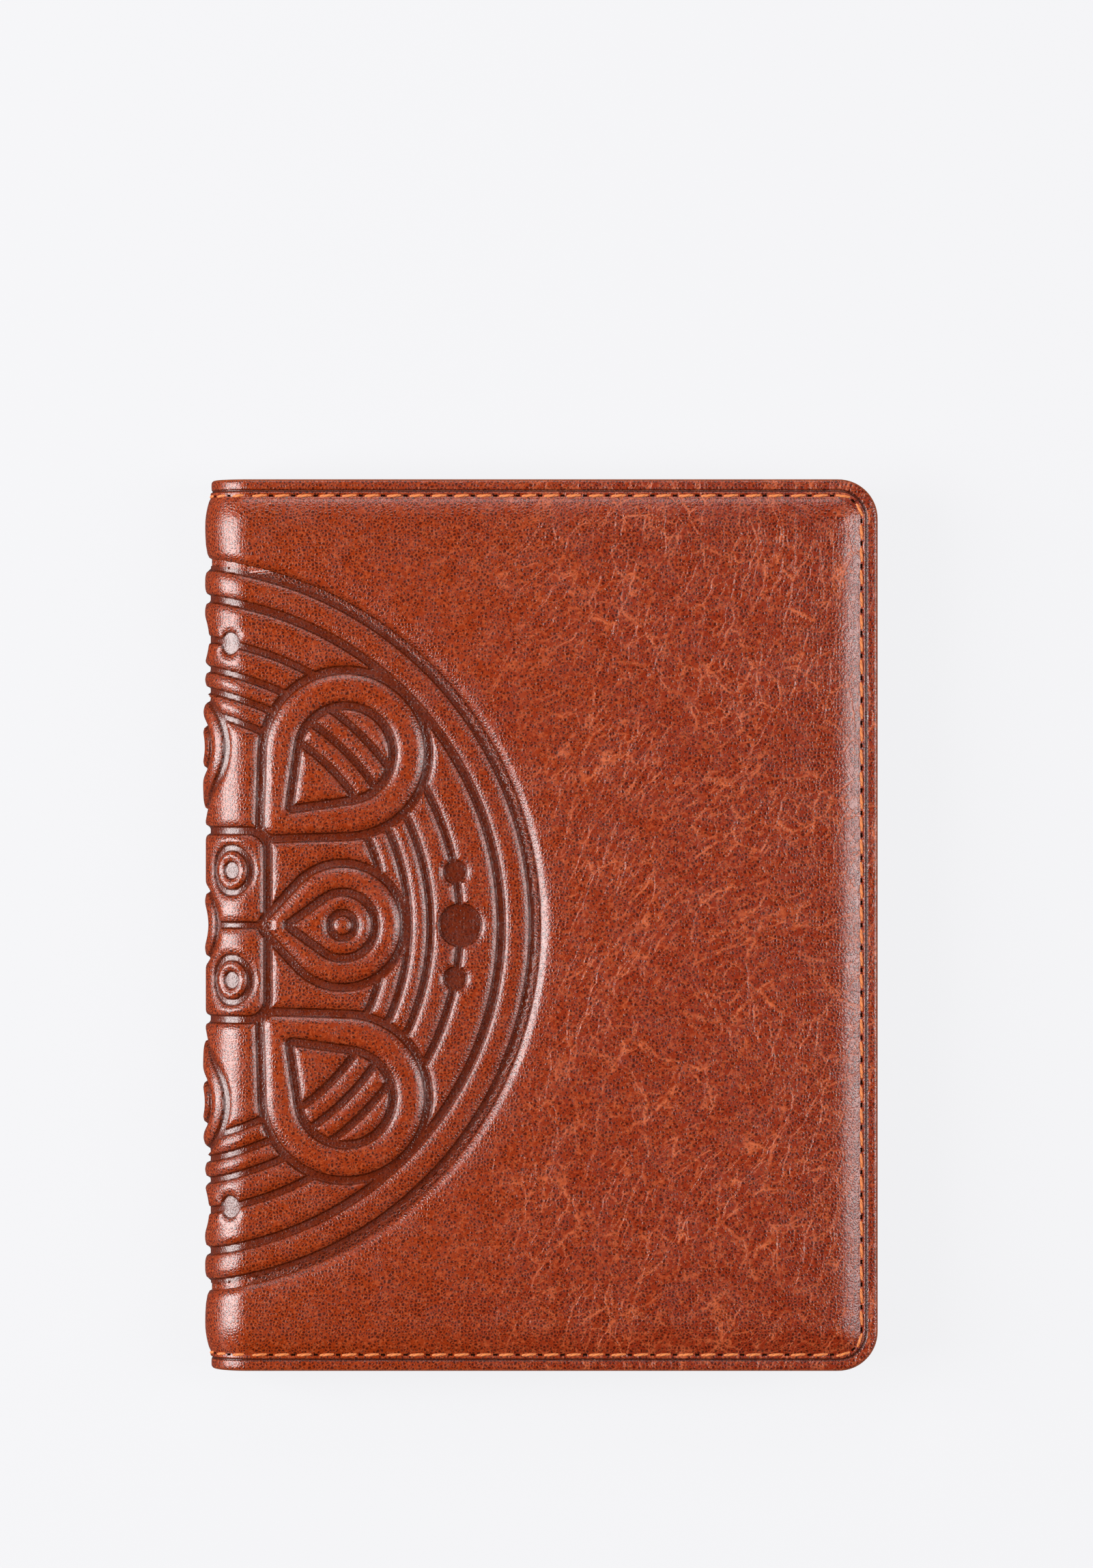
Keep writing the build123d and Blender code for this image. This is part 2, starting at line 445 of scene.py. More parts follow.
def finish_piece(mesh: bpy.types.Mesh, name: str, material: bpy.types.Material) -> bpy.types.Object:
    """Makes an object of a mesh, with its finish.

    Args:
        mesh: the finished mesh, in metres.
        name: the piece's name.
        material: the piece's finish.

    Returns:
        The object, linked to the scene.
    """
    mesh.name = name
    mesh.materials.clear()
    mesh.materials.append(material)
    piece = bpy.data.objects.new(name, mesh)
    bpy.context.scene.collection.objects.link(piece)
    LOG.info("%s: %d points, %d faces", name, len(mesh.vertices), len(mesh.polygons))
    return piece


@dataclass
class Sheet:
    """A layer drawn flat: a grid with an outer and an inner face, laid on the holder.

    The inner face is plain where it has cuts, at these distances inside the free edges.
    """

    name: str
    u_lines: Array
    y_lines: Array
    outer: Height
    inner: Height
    outline: Outline
    sign: int = 1
    reshape: Callable[[Array, Array], tuple[Array, Array]] | None = None
    inside_cuts: tuple[float, ...] = ()
    shading: Height | None = None
    groove: Height | None = None
    inside: Height | None = None

    def placed(self, co: Array) -> tuple[Array, Array]:
        """Places of the grid's points, with round corners and any new shape of an edge."""
        u, y = self.outline.rounded(co[:, 0], co[:, 1])
        return self.reshape(u, y) if self.reshape else (u, y)

    def close_plain(self, bm: bmesh.types.BMesh) -> None:
        """Closes the grid below with side walls and a face that is cut where the layer steps."""
        rim = [edge for edge in bm.edges if edge.is_boundary]
        extruded = bmesh.ops.extrude_edge_only(bm, edges=rim)["geom"]
        for vert in (g for g in extruded if isinstance(g, bmesh.types.BMVert)):
            vert.co.z = -1.0
        base_edges = [g for g in extruded if isinstance(g, bmesh.types.BMEdge)]
        base = bmesh.ops.contextual_create(bm, geom=base_edges)["faces"]
        for cut in self.inside_cuts:
            planes = (
                ((self.outline.far - cut, 0, 0), (1, 0, 0)),
                ((0, self.outline.high - cut, 0), (0, 1, 0)),
                ((0, self.outline.low + cut, 0), (0, 1, 0)),
            )
            for place, normal in planes:
                verts = dict.fromkeys(vert for face in base for vert in face.verts)
                edges = dict.fromkeys(edge for face in base for edge in face.edges)
                geom = [*verts, *edges, *base]
                done = bmesh.ops.bisect_plane(bm, geom=geom, plane_co=place, plane_no=normal,
                                              dist=1e-5)
                base = [g for g in done["geom"] if isinstance(g, bmesh.types.BMFace)]

    def close_full(self, bm: bmesh.types.BMesh) -> None:
        """Closes the grid below with a second face of the same grid."""
        faces = list(bm.faces)
        copy = bmesh.ops.duplicate(bm, geom=[*bm.verts, *bm.edges, *faces])
        below = [g for g in copy["geom"] if isinstance(g, bmesh.types.BMVert)]
        for vert in below:
            vert.co.z = -1.0
        rim = [edge for edge in bm.edges if edge.is_boundary]
        bmesh.ops.bridge_loops(bm, edges=rim)

    def build(self) -> bpy.types.Mesh:
        """Builds the layer and lays it on the holder.

        Returns:
            The closed mesh, in metres.
        """
        bm = flat_grid(self.u_lines, self.y_lines)
        top_count = len(bm.verts)
        if self.inside_cuts:
            self.close_plain(bm)
        else:
            self.close_full(bm)
        bmesh.ops.recalc_face_normals(bm, faces=bm.faces)
        mesh = bpy.data.meshes.new(self.name)
        bm.to_mesh(mesh)
        bm.free()
        co = coordinates(mesh)
        u, y = self.placed(co)
        s = self.sign * u
        top = np.arange(len(co)) < top_count
        n = np.where(top, self.outer(s, y), self.inner(s, y))
        store(mesh, "skin", np.stack([s, y, n], axis=1))
        inside = RELIEF.edge(s, y) if self.inside is None else self.inside(s, y)
        store(mesh, "edge", np.clip(inside, 0.0, FAR_OFF))
        if self.groove:
            store(mesh, "groove", np.where(top, self.groove(s, y), FAR_OFF))
        mesh.vertices.foreach_set("co", (lay(s, y, n) * MM).ravel())
        if self.sign < 0:
            mesh.flip_normals()
        mesh.update()
        mesh.shade_smooth()
        if self.shading:
            mesh.vertex_normals.foreach_get("vector", flat := np.empty(len(co) * 3, np.float32))
            normals = flat.reshape(-1, 3).astype(float)
            normals[top] = lay_normals(self.shading, s[top], y[top], n[top])
            mesh.normals_split_custom_set_from_vertices(normals.tolist())
        return mesh


# ---- Pressed decoration ----

@dataclass(frozen=True)
class Medallion:
    """A plain geometric medallion pressed into the leather, centred on the middle of the spine.

    It is the same in all four quarters, so it is drawn in one: a runs along the sheet and b across it.
    """

    outer_ring: float = 54.7
    second_ring: float = 49.6
    bead_ring: float = 43.4
    inner_rings: tuple[float, ...] = (38.9, 35.6, 32.2)
    wide_line: float = 1.55
    line: float = 1.1
    fine_line: float = 0.9
    pad_reach: float = 36.8
    pad_radius: float = 12.6
    pad_length: float = 15.2
    pad_tip: float = 2.2
    pad_slope: float = 3.6
    window_radius: float = 7.2
    window_length: float = 11.2
    window_tip: float = 0.5
    slats: tuple[float, ...] = (33.6, 37.0, 40.4)
    small_reach: float = 25.6
    small_radius: float = 9.4
    small_length: float = 10.6
    small_tip: float = 1.6
    eye_radius: float = 5.0
    eye_length: float = 7.8
    eye_tip: float = 0.4
    pupil: float = 1.9
    top_reach: float = 27.0
    top_radius: float = 7.4
    top_tip: float = 1.2
    hub: float = 14.3
    hub_corner: float = 3.0
    boss: float = 5.4
    boss_dot: float = 2.2
    loop_place: tuple[float, float] = (8.3, 8.3)
    loop_radius: float = 3.4
    loop_dot: float = 1.3
    big_bead: float = 3.2
    bead: float = 1.7
    bead_step: float = 8.1
    top_bead_share: float = 0.8

    def diagonal_drop(self, a: Array, b: Array, radius: float, length: float, tip: float) -> Array:
        """Distance to a drop at the large pad's place that points to the middle."""
        place = self.pad_reach / math.sqrt(2)
        return drop_distance(a, b, (place, place), -math.pi * 3 / 4, radius, length, tip)

    def big_pad(self, a: Array, b: Array) -> Array:
        """Distance to the large drop pad that points to the middle along the diagonal."""
        return self.diagonal_drop(a, b, self.pad_radius, self.pad_length, self.pad_tip)

    def side_pad(self, a: Array, b: Array) -> Array:
        """Distance to the smaller drop pad on the cover, level with the middle."""
        return drop_distance(a, b, (self.small_reach, 0.0), math.pi, self.small_radius,
                             self.small_length, self.small_tip)

    def top_pad(self, a: Array, b: Array) -> Array:
        """Distance to the small drop pad on the spine, above the middle."""
        return drop_distance(a, b, (0.0, self.top_reach), -math.pi / 2, self.top_radius,
                             self.top_radius * 1.2, self.top_tip)

    def hub_distance(self, a: Array, b: Array) -> Array:
        """Distance to the rounded square round the middle."""
        inner = self.hub - self.hub_corner
        x, y = a - inner, b - inner
        outside = np.hypot(np.maximum(x, 0), np.maximum(y, 0))
        return outside + np.minimum(np.maximum(x, y), 0) - self.hub_corner

    def pads(self, a: Array, b: Array) -> Array:
        """Distance to the nearest pad, negative inside it."""
        return nearest(self.big_pad(a, b), self.side_pad(a, b), self.top_pad(a, b))

    def beads(self, a: Array, b: Array) -> Array:
        """Distance to the beads on their ring."""
        found = [np.hypot(a - self.bead_ring, b) - self.big_bead,
                 np.hypot(a, b - self.bead_ring) - self.big_bead * self.top_bead_share]
        near = self.bead_step / self.bead_ring
        for angle in (near, math.pi / 2 - near):
            x, y = self.bead_ring * math.cos(angle), self.bead_ring * math.sin(angle)
            found.append(np.hypot(a - x, b - y) - self.bead)
        return nearest(*found)

    def window(self, a: Array, b: Array) -> Array:
        """Distance to the grooves of the large pad's window and its slats."""
        pane = self.diagonal_drop(a, b, self.window_radius, self.window_length, self.window_tip)
        radius = np.hypot(a, b)
        slats = [np.maximum(band(radius - slat, self.fine_line), pane) for slat in self.slats]
        return nearest(band(pane, self.line), *slats)

    def eye(self, a: Array, b: Array) -> Array:
        """Distance to the grooves inside the smaller pads."""
        pane = drop_distance(a, b, (self.small_reach, 0.0), math.pi, self.eye_radius,
                             self.eye_length, self.eye_tip)
        ring = np.hypot(a - self.small_reach, b) - self.pupil
        bowl = np.hypot(a, b - self.top_reach)
        return nearest(band(pane, self.line), band(ring, self.fine_line),
                       band(bowl - self.top_radius * 0.5, self.fine_line), bowl - self.top_tip)

    def middle(self, a: Array, b: Array) -> Array:
        """Distance to the grooves inside the hub."""
        radius = np.hypot(a, b)
        loop = np.hypot(a - self.loop_place[0], b - self.loop_place[1])
        spokes = [line_distance(a, b, *ends) - self.fine_line / 2
                  for ends in (((self.boss, 0.0), (self.hub, 0.0)), ((0.0, self.boss), (0.0, self.hub)))]
        return nearest(band(radius - self.boss, self.fine_line), radius - self.boss_dot,
                       band(loop - self.loop_radius, self.fine_line), loop - self.loop_dot, *spokes)

    def groove(self, s: Array, y: Array) -> Array:
        """Signed distance to everything that is pressed in.

        Args:
            s: places along the sheet.
            y: places across the sheet.

        Returns:
            The distances, negative inside a groove, and at most FAR_OFF.
        """
        a, b = np.abs(s), np.abs(y)
        radius = np.hypot(a, b)
        pads, hub = self.pads(a, b), self.hub_distance(a, b)
        covered = np.maximum(-pads, -hub)
        rings = [(self.second_ring, self.line, -pads), (self.bead_ring, self.fine_line, -pads)]
        rings += [(ring, self.fine_line, covered) for ring in self.inner_rings]
        found = [np.maximum(band(radius - ring, width), hidden) for ring, width, hidden in rings]
        found += [band(radius - self.outer_ring, self.wide_line), np.maximum(self.beads(a, b), -pads),
                  band(pads, self.line), np.maximum(band(hub, self.line), -pads),
                  self.window(a, b), self.eye(a, b), self.middle(a, b)]
        return np.minimum(nearest(*found), FAR_OFF)

    def lift(self, s: Array, y: Array) -> Array:
        """How far the stuffed pads stand above the rest, from 0 to 1."""
        return swell(-self.pads(np.abs(s), np.abs(y)) / self.pad_slope)


@dataclass(frozen=True)
class Relief:
    """The outer face of the leather: rolled rim, sewn channel, padded field and pressed medallion."""

    medallion: Medallion = field(default_factory=Medallion)
    rim_level: float = -1.38
    rim_round: float = 0.5
    step_inset: float = 1.78
    step_height: float = 0.27
    step_width: float = 0.36
    rim_roll: float = 0.06
    crease_depth: float = 0.14
    crease_lead: float = 0.06
    crease_width: float = 0.13
    seam_dip: float = 0.13
    seam_width: float = 0.42
    slope_inset: float = 2.7
    slope_width: float = 4.4
    field_level: float = -0.34
    crown: float = 0.14
    crown_insets: tuple[float, float] = (6.0, 18.0)
    crown_start: float = 2.0
    crown_end: float = 6.0
    pad_lift: float = 0.30
    ring_dip: float = 0.52
    ring_reach: float = 1.6
    groove_depth: float = 0.52
    groove_lip: float = 0.26
    groove_foot: float = -0.14
    sag: float = 0.34
    sag_reach: float = 1.5

    def edge(self, s: Array, y: Array) -> Array:
        """Distance inside the leather's free edges."""
        return cover_outline(0.0, SIZES.corner_radius).inside(np.abs(s), y)

    def rim(self, depth: Array) -> Array:
        """Height of the low rim and of the sewn strip above it, at a distance from the edge."""
        roll = self.rim_roll * np.sin(np.pi * np.clip(depth / self.step_inset, 0, 1))
        crease = np.exp(-(((depth - self.step_inset + self.crease_lead) / self.crease_width) ** 2))
        step = swell((depth - self.step_inset) / self.step_width)
        dip = np.exp(-(((depth - SIZES.seam_inset) / self.seam_width) ** 2))
        return self.rim_level + roll - round_over(depth, self.rim_round) - self.crease_depth * crease \
            + self.step_height * step - self.seam_dip * dip

    def padding(self, depth: Array) -> Array:
        """Height that the foam gives the field, at a distance from the edge."""
        rise = swell((depth - self.slope_inset) / self.slope_width)
        strip = self.rim_level + self.step_height
        return (self.field_level - strip) * rise + self.crown * smooth(*self.crown_insets, depth)

    def broad(self, s: Array, y: Array) -> Array:
        """The wide shapes: rim, padding, stuffed pads and the sag of the leather beside the grooves."""
        depth = self.edge(s, y)
        groove = self.medallion.groove(s, y)
        radius = np.hypot(s, y)
        ring = self.medallion.outer_ring
        inside = smooth(ring + self.crown_end, ring - self.crown_start, radius)
        beside = np.clip(1 - groove / self.sag_reach, 0, 1)
        height = self.rim(depth) + self.padding(depth) - self.crown * inside
        height += self.pad_lift * self.medallion.lift(s, y)
        height -= self.sag * beside ** 2
        outside = np.clip(radius - ring - self.medallion.wide_line / 2, 0, None)
        return height - self.ring_dip * np.exp(-outside / self.ring_reach) * (radius > ring)

    def height(self, s: Array, y: Array) -> Array:
        """The whole face: the wide shapes with the grooves cut into them."""
        groove = self.medallion.groove(s, y)
        cut = 1 - smooth(self.groove_foot, self.groove_lip, groove)
        return self.broad(s, y) - self.groove_depth * cut


FOAM_GAP = 0.1  # between the foam's edge and the end of the leather's step over it
LINING_GAP = 0.005  # between the leather and the lining at the seam


def under_leather(s: Array, y: Array) -> Array:
    """Inner face of the leather: flat on the lining at the seam, lifted over the foam inside it."""
    depth = RELIEF.edge(s, y)
    step = smooth(SIZES.foam_ramp, SIZES.foam_inset - FOAM_GAP, depth)
    return -SIZES.shell + LINING_GAP + (SIZES.shell - SIZES.leather) * step


RELIEF = Relief()


# ---- Finishes ----

class Nodes:
    """A short way to write a finish: each method adds a node and returns its output socket."""

    def __init__(self, name: str) -> None:
        """Starts a material with a shader and nothing else.

        Args:
            name: the material's name.
        """
        self.material = bpy.data.materials.new(name)
        self.material.use_nodes = True
        self.tree = self.material.node_tree
        self.shader = self.tree.nodes["Principled BSDF"]

    def feed(self, socket: Socket, value: object) -> None:
        """Links a socket, or gives it a fixed value."""
        if isinstance(value, Socket):
            self.tree.links.new(value, socket)
        else:
            socket.default_value = value

    def add(self, kind: str, inputs: dict[str | int, object], **settings: object) -> bpy.types.Node:
        """Adds a node.

        Args:
            kind: the kind of node.
            inputs: what is fed to its inputs, by their names or numbers.
            settings: its other settings.

        Returns:
            The node.
        """
        node = self.tree.nodes.new(kind)
        for key, value in settings.items():
            setattr(node, key, value)
        for key, value in inputs.items():
            self.feed(node.inputs[key], value)
        return node

    def attribute(self, name: str, output: str = "Fac") -> Socket:
        """Reads what a mesh keeps at its points."""
        return self.add("ShaderNodeAttribute", {}, attribute_name=name).outputs[output]

    def stretched(self, vector: Socket, size: Sequence[float], turn: float = 0.0) -> Socket:
        """Turns a pattern, then draws it out to a size along its own axes."""
        inputs = {"Vector": vector, "Scale": size, "Rotation": (0, 0, turn)}
        return self.add("ShaderNodeMapping", inputs, vector_type="TEXTURE").outputs[0]

    def noise(self, vector: Socket, scale: float, detail: float = 2.0, roughness: float = 0.5,
              colour: bool = False) -> Socket:
        """Cloudy noise, from 0 to 1."""
        inputs = {"Vector": vector, "Scale": scale, "Detail": detail, "Roughness": roughness}
        return self.add("ShaderNodeTexNoise", inputs).outputs["Color" if colour else "Fac"]

    def cells(self, vector: Socket, scale: float, feature: str = "F1", randomness: float = 1.0) -> Socket:
        """Distance in a pattern of cells, to their middles or to the lines between them."""
        inputs = {"Vector": vector, "Scale": scale, "Randomness": randomness}
        return self.add("ShaderNodeTexVoronoi", inputs, feature=feature).outputs["Distance"]

    def maths(self, operation: str, first: object, second: object = 0.0, third: object = 0.0) -> Socket:
        """One sum of two or three values."""
        return self.add("ShaderNodeMath", {0: first, 1: second, 2: third}, operation=operation).outputs[0]

    def times(self, first: object, second: object) -> Socket:
        """The product of two values."""
        return self.maths("MULTIPLY", first, second)

    def span(self, value: object, low: float, high: float, start: float = 0.0, end: float = 1.0) -> Socket:
        """Maps low..high smoothly to start..end."""
        inputs = {"Value": value, "From Min": low, "From Max": high, "To Min": start, "To Max": end}
        return self.add("ShaderNodeMapRange", inputs, interpolation_type="SMOOTHSTEP").outputs[0]

    def mix(self, share: object, first: object, second: object) -> Socket:
        """Mixes two colours."""
        return self.add("ShaderNodeMix", {0: share, 6: first, 7: second}, data_type="RGBA").outputs[2]

    def warp(self, vector: Socket, at: Socket, scale: float, detail: float, amount: float) -> Socket:
        """Shifts a pattern by an amount of cloudy noise, which is read at a place."""
        clouds = self.noise(at, scale, detail, colour=True)
        inputs = {0: clouds, 1: (amount, amount, amount), 2: vector}
        return self.add("ShaderNodeVectorMath", inputs, operation="MULTIPLY_ADD").outputs[0]

    def bump(self, height: Socket, distance: float, normal: Socket | None = None,
             strength: float = 1.0) -> Socket:
        """Bumps the surface by a height from 0 to 1, over a distance in metres."""
        inputs = {"Distance": distance, "Strength": strength, "Height": height}
        if normal is not None:
            inputs["Normal"] = normal
        return self.add("ShaderNodeBump", inputs).outputs["Normal"]

    def parts(self, vector: Socket) -> bpy.types.bpy_prop_collection:
        """The three numbers of a vector."""
        return self.add("ShaderNodeSeparateXYZ", {0: vector}).outputs

    def set(self, **values: object) -> None:
        """Sets sockets of the shader, whose names have spaces for underscores."""
        for key, value in values.items():
            self.feed(self.shader.inputs[key.replace("_", " ")], value)


def colour(red: float, green: float, blue: float) -> Colour:
    """A colour given by its display values from 0 to 255, turned to linear light."""
    def linear(value: float) -> float:
        """Turns one display value to linear light."""
        share = value / 255
        return share / 12.92 if share <= 0.04045 else ((share + 0.055) / 1.055) ** 2.4
    return (linear(red), linear(green), linear(blue), 1.0)


@dataclass(frozen=True)
class Finish:
    """A surface finish, which reads what the meshes keep at their points."""

    name: str

    def paint(self, n: Nodes) -> None:
        """Wires the finish."""
        raise NotImplementedError

    def build(self) -> bpy.types.Material:
        """Makes the material.

        Returns:
            The wired material.
        """
        n = Nodes(self.name)
        self.paint(n)
        return n.material


@dataclass(frozen=True)
class PolishedLeather(Finish):
    """Waxed and polished cowhide whose folds are rubbed light, mostly towards the fore edge."""

    name: str = "polished_leather"
    warm: Colour = colour(127, 41, 6)
    deep: Colour = colour(119, 34, 10)
    pit: Colour = colour(54, 12, 3)
    light: Colour = colour(182, 88, 48)
    # dark: painted shade, beside the grooves and in the crease at the step
    dark: Colour = colour(40, 9, 3)
    # floor: painted shade of the grooves' floors
    floor: Colour = colour(70, 19, 4)
    worn: Colour = colour(150, 72, 30)
    roughness: float = 0.24

    def folds(self, n: Nodes, skin: Socket) -> tuple[Socket, ...]:
        """The grain and the folds: pebbles, a web and long wrinkles.

        Args:
            n: the material.
            skin: the place on the sheet.

        Returns:
            The valleys between the pebbles, the lines of the web and the long wrinkles, from 0 to 1.
        """
        drift = n.warp(skin, skin, 0.022, 1.0, 30.0)
        drift = n.warp(drift, skin, 0.30, 2.0, 2.0)
        long_cells = n.cells(n.stretched(drift, (9.5, 3.6, 5.0), 1.2), 1.0, "DISTANCE_TO_EDGE")
        web_cells = n.cells(n.stretched(drift, (3.6, 1.7, 2.0), 1.05), 1.0, "DISTANCE_TO_EDGE")
        pebble_at = n.warp(skin, skin, 1.6, 1.0, 0.22)
        pebble_cells = n.cells(pebble_at, 2.0, "DISTANCE_TO_EDGE", 0.9)
        return tuple(n.span(cells, width, full) for cells, width, full in (
            (pebble_cells, 0.30, 0.03), (web_cells, 0.075, 0.0), (long_cells, 0.05, 0.0)))

    def paint(self, n: Nodes) -> None:
        """Wires the finish, which reads the skin, groove and edge attributes, and paints shade on and beside
        the grooves and in the crease at the step.
        """
        skin = n.attribute("skin", "Vector")
        distance = n.maths("ABSOLUTE", n.parts(skin)[0])
        groove, edge = n.attribute("groove"), n.attribute("edge")
        # Painted shade: the grooves' floors are mixed towards the floor colour below.
        floor = n.span(groove, 0.16, -0.10)
        groove_edge_shade = n.span(groove, 1.3, 0.1)
        valleys, web, wrinkles = self.folds(n, skin)

        cloud = n.noise(skin, 0.045, 3.0, 0.55)
        patch = n.noise(skin, 0.10, 3.0, 0.6)
        worked = n.times(n.span(distance, 30.0, 66.0), n.span(patch, 0.30, 0.60, 0.15, 1.0))
        worked = n.times(worked, n.span(groove, 1.0, 6.0))
        broken = n.span(n.noise(skin, 0.50, 3.0, 0.6), 0.36, 0.60, 0.10, 1.0)
        grained = n.maths("MULTIPLY_ADD", valleys, 0.6, 0.4)
        worked_lines = n.times(n.times(worked, broken), grained)
        lines = n.maths("MAXIMUM", n.times(web, 0.65), wrinkles)
        lines = n.times(lines, worked_lines)

        outward = n.span(n.maths("MULTIPLY_ADD", cloud, 60.0, distance), 45.0, 115.0)
        base = n.mix(outward, self.warm, self.deep)
        base = n.mix(n.span(n.noise(skin, 0.8, 2.0, 0.6), 0.45, 0.75, 0.0, 0.10), base, self.light)
        base = n.mix(n.times(n.span(valleys, 1.0, 0.0), 0.88), base, self.pit)
        base = n.mix(n.span(n.noise(skin, 2.2, 1.0, 0.5), 0.52, 0.66, 0.0, 0.30), base, self.light)
        base = n.mix(n.times(lines, 0.85), base, self.light)
        # Painted shade: darker beside the grooves' edges.
        base = n.mix(n.times(groove_edge_shade, 0.22), base, self.dark)
        # Painted shadow: a dark line in the crease at the foot of the step, outside the stitches.
        seam = n.times(n.span(edge, 1.35, 1.68), n.span(edge, 2.05, 1.84))
        base = n.mix(n.times(seam, 0.75), base, self.dark)
        base = n.mix(n.span(edge, 0.34, 0.05, 0.0, 0.75), base, self.worn)
        # Painted shade on the grooves' floors.
        base = n.mix(n.times(floor, 0.65), base, self.floor)

        shape = n.span(groove, 0.24, -0.12, 1.0, 0.0)
        normal = n.bump(shape, 0.00056, strength=0.85)
        normal = n.bump(n.maths("SUBTRACT", 1.0, valleys), 0.000020, normal)
        fold = n.times(n.maths("MAXIMUM", n.times(web, 0.6), wrinkles), worked)
        normal = n.bump(n.maths("SUBTRACT", 1.0, fold), 0.000030, normal)
        normal = n.bump(n.noise(skin, 0.30, 3.0, 0.5), 0.00010, normal, 0.5)

        rough = n.span(n.noise(skin, 0.30, 3.0, 0.6), 0.3, 0.7, self.roughness - 0.04, self.roughness + 0.08)
        rough = n.maths("MULTIPLY_ADD", lines, 0.12, rough)
        n.set(Base_Color=base, Roughness=rough, Normal=normal)
        n.set(Specular_IOR_Level=0.52, Coat_Weight=0.15, Coat_Roughness=0.20)


@dataclass(frozen=True)
class PocketLeather(Finish):
    """Thin satin leather of the sleeves and card pockets, with a fine printed grain."""

    name: str = "pocket_leather"
    base: Colour = colour(124, 46, 16)
    deep: Colour = colour(108, 36, 13)
    light: Colour = colour(150, 72, 36)
    pit: Colour = colour(62, 18, 7)
    roughness: float = 0.40

    def paint(self, n: Nodes) -> None:
        """Wires the finish, which reads the skin attribute."""
        skin = n.attribute("skin", "Vector")
        grain_at = n.warp(skin, skin, 1.8, 1.0, 0.2)
        valleys = n.span(n.cells(grain_at, 2.6, "DISTANCE_TO_EDGE", 0.85), 0.22, 0.02)
        drift = n.warp(skin, skin, 0.25, 2.0, 3.0)
        folds = n.cells(n.stretched(drift, (4.0, 2.2, 3.0), 0.4), 1.0, "DISTANCE_TO_EDGE")
        creases = n.span(folds, 0.04, 0.0)
        creases = n.times(creases, n.span(n.noise(skin, 0.12, 2.0, 0.6), 0.48, 0.66))
        tone = n.mix(n.span(n.noise(skin, 0.05, 3.0, 0.55), 0.35, 0.7), self.base, self.deep)
        tone = n.mix(n.span(n.noise(skin, 1.2, 3.0, 0.6), 0.45, 0.75, 0.0, 0.22), tone, self.light)
        tone = n.mix(n.times(valleys, 0.55), tone, self.pit)
        tone = n.mix(n.times(creases, 0.45), tone, self.light)
        edge = n.attribute("edge")
        worn = n.times(n.span(edge, 0.40, 0.60), n.span(edge, 1.3, 0.8, 0.0, 0.6))
        tone = n.mix(worn, tone, self.light)
        tone = n.mix(n.span(edge, 0.45, 0.25, 0.0, 0.85), tone, self.pit)
        normal = n.bump(n.maths("SUBTRACT", 1.0, valleys), 0.000022)
        normal = n.bump(n.maths("SUBTRACT", 1.0, creases), 0.000025, normal)
        normal = n.bump(n.noise(skin, 0.20, 3.0, 0.5), 0.00012, normal, 0.6)
        rough = n.span(n.noise(skin, 0.4, 3.0, 0.6), 0.3, 0.7, self.roughness - 0.04, self.roughness + 0.08)
        n.set(Base_Color=tone, Roughness=rough, Normal=normal)
        n.set(Specular_IOR_Level=0.45)


@dataclass(frozen=True)
class SuedeLining(Finish):
    """Napped suede, brushed this way and that."""

    name: str = "suede_lining"
    base: Colour = colour(88, 42, 22)
    light: Colour = colour(112, 60, 34)

    def paint(self, n: Nodes) -> None:
        """Wires the finish, which reads the skin attribute."""
        skin = n.attribute("skin", "Vector")
        brushed = n.noise(n.stretched(skin, (9.0, 6.0, 7.0), 0.5), 1.0, 3.0, 0.6)
        nap = n.noise(n.stretched(skin, (0.30, 0.16, 0.2), 0.5), 1.0, 3.0, 0.7)
        tone = n.mix(n.span(brushed, 0.3, 0.7, 0.0, 0.55), self.base, self.light)
        tone = n.mix(n.span(nap, 0.35, 0.7, 0.0, 0.60), tone, self.light)
        normal = n.bump(nap, 0.00008)
        n.set(Base_Color=tone, Roughness=n.span(brushed, 0.3, 0.7, 0.86, 0.98), Normal=normal)
        n.set(Specular_IOR_Level=0.2, Sheen_Weight=0.25, Sheen_Roughness=0.5)


@dataclass(frozen=True)
class FoamSheet(Finish):
    """Fine closed-cell foam."""

    name: str = "foam_sheet"
    base: Colour = colour(226, 222, 210)
    deep: Colour = colour(196, 190, 176)

    def paint(self, n: Nodes) -> None:
        """Wires the finish, which reads the skin attribute."""
        skin = n.attribute("skin", "Vector")
        cells = n.cells(skin, 2.5)
        tone = n.mix(n.span(cells, 0.1, 0.7), self.base, self.deep)
        n.set(Base_Color=tone, Roughness=n.span(cells, 0.0, 0.8, 0.8, 0.95), Normal=n.bump(cells, 0.00006))


@dataclass(frozen=True)
class WaxedThread(Finish):
    """Waxed polyester thread of two plies."""

    name: str = "waxed_thread"
    base: Colour = colour(206, 112, 50)
    deep: Colour = colour(150, 68, 24)
    light: Colour = colour(236, 160, 98)

    def paint(self, n: Nodes) -> None:
        """Wires the finish, which reads the strand attribute: along and round each stitch."""
        strand = n.attribute("strand", "Vector")
        along, round_it, _ = n.parts(strand)
        twist = n.maths("MULTIPLY_ADD", along, 3.0, round_it)
        ply = n.maths("ABSOLUTE", n.maths("SINE", twist))
        fibre = n.noise(n.stretched(strand, (0.33, 0.11, 0.11)), 1.0, 2.0, 0.6)
        # Painted shade: darker in the grooves between the two plies.
        tone = n.mix(n.span(ply, 0.0, 0.55), self.deep, self.base)
        tone = n.mix(n.span(fibre, 0.45, 0.75, 0.0, 0.5), tone, self.light)
        normal = n.bump(ply, 0.00005)
        normal = n.bump(fibre, 0.00002, normal)
        n.set(Base_Color=tone, Roughness=n.span(fibre, 0.3, 0.7, 0.45, 0.6), Normal=normal)
        n.set(Specular_IOR_Level=0.4, Sheen_Weight=0.1)


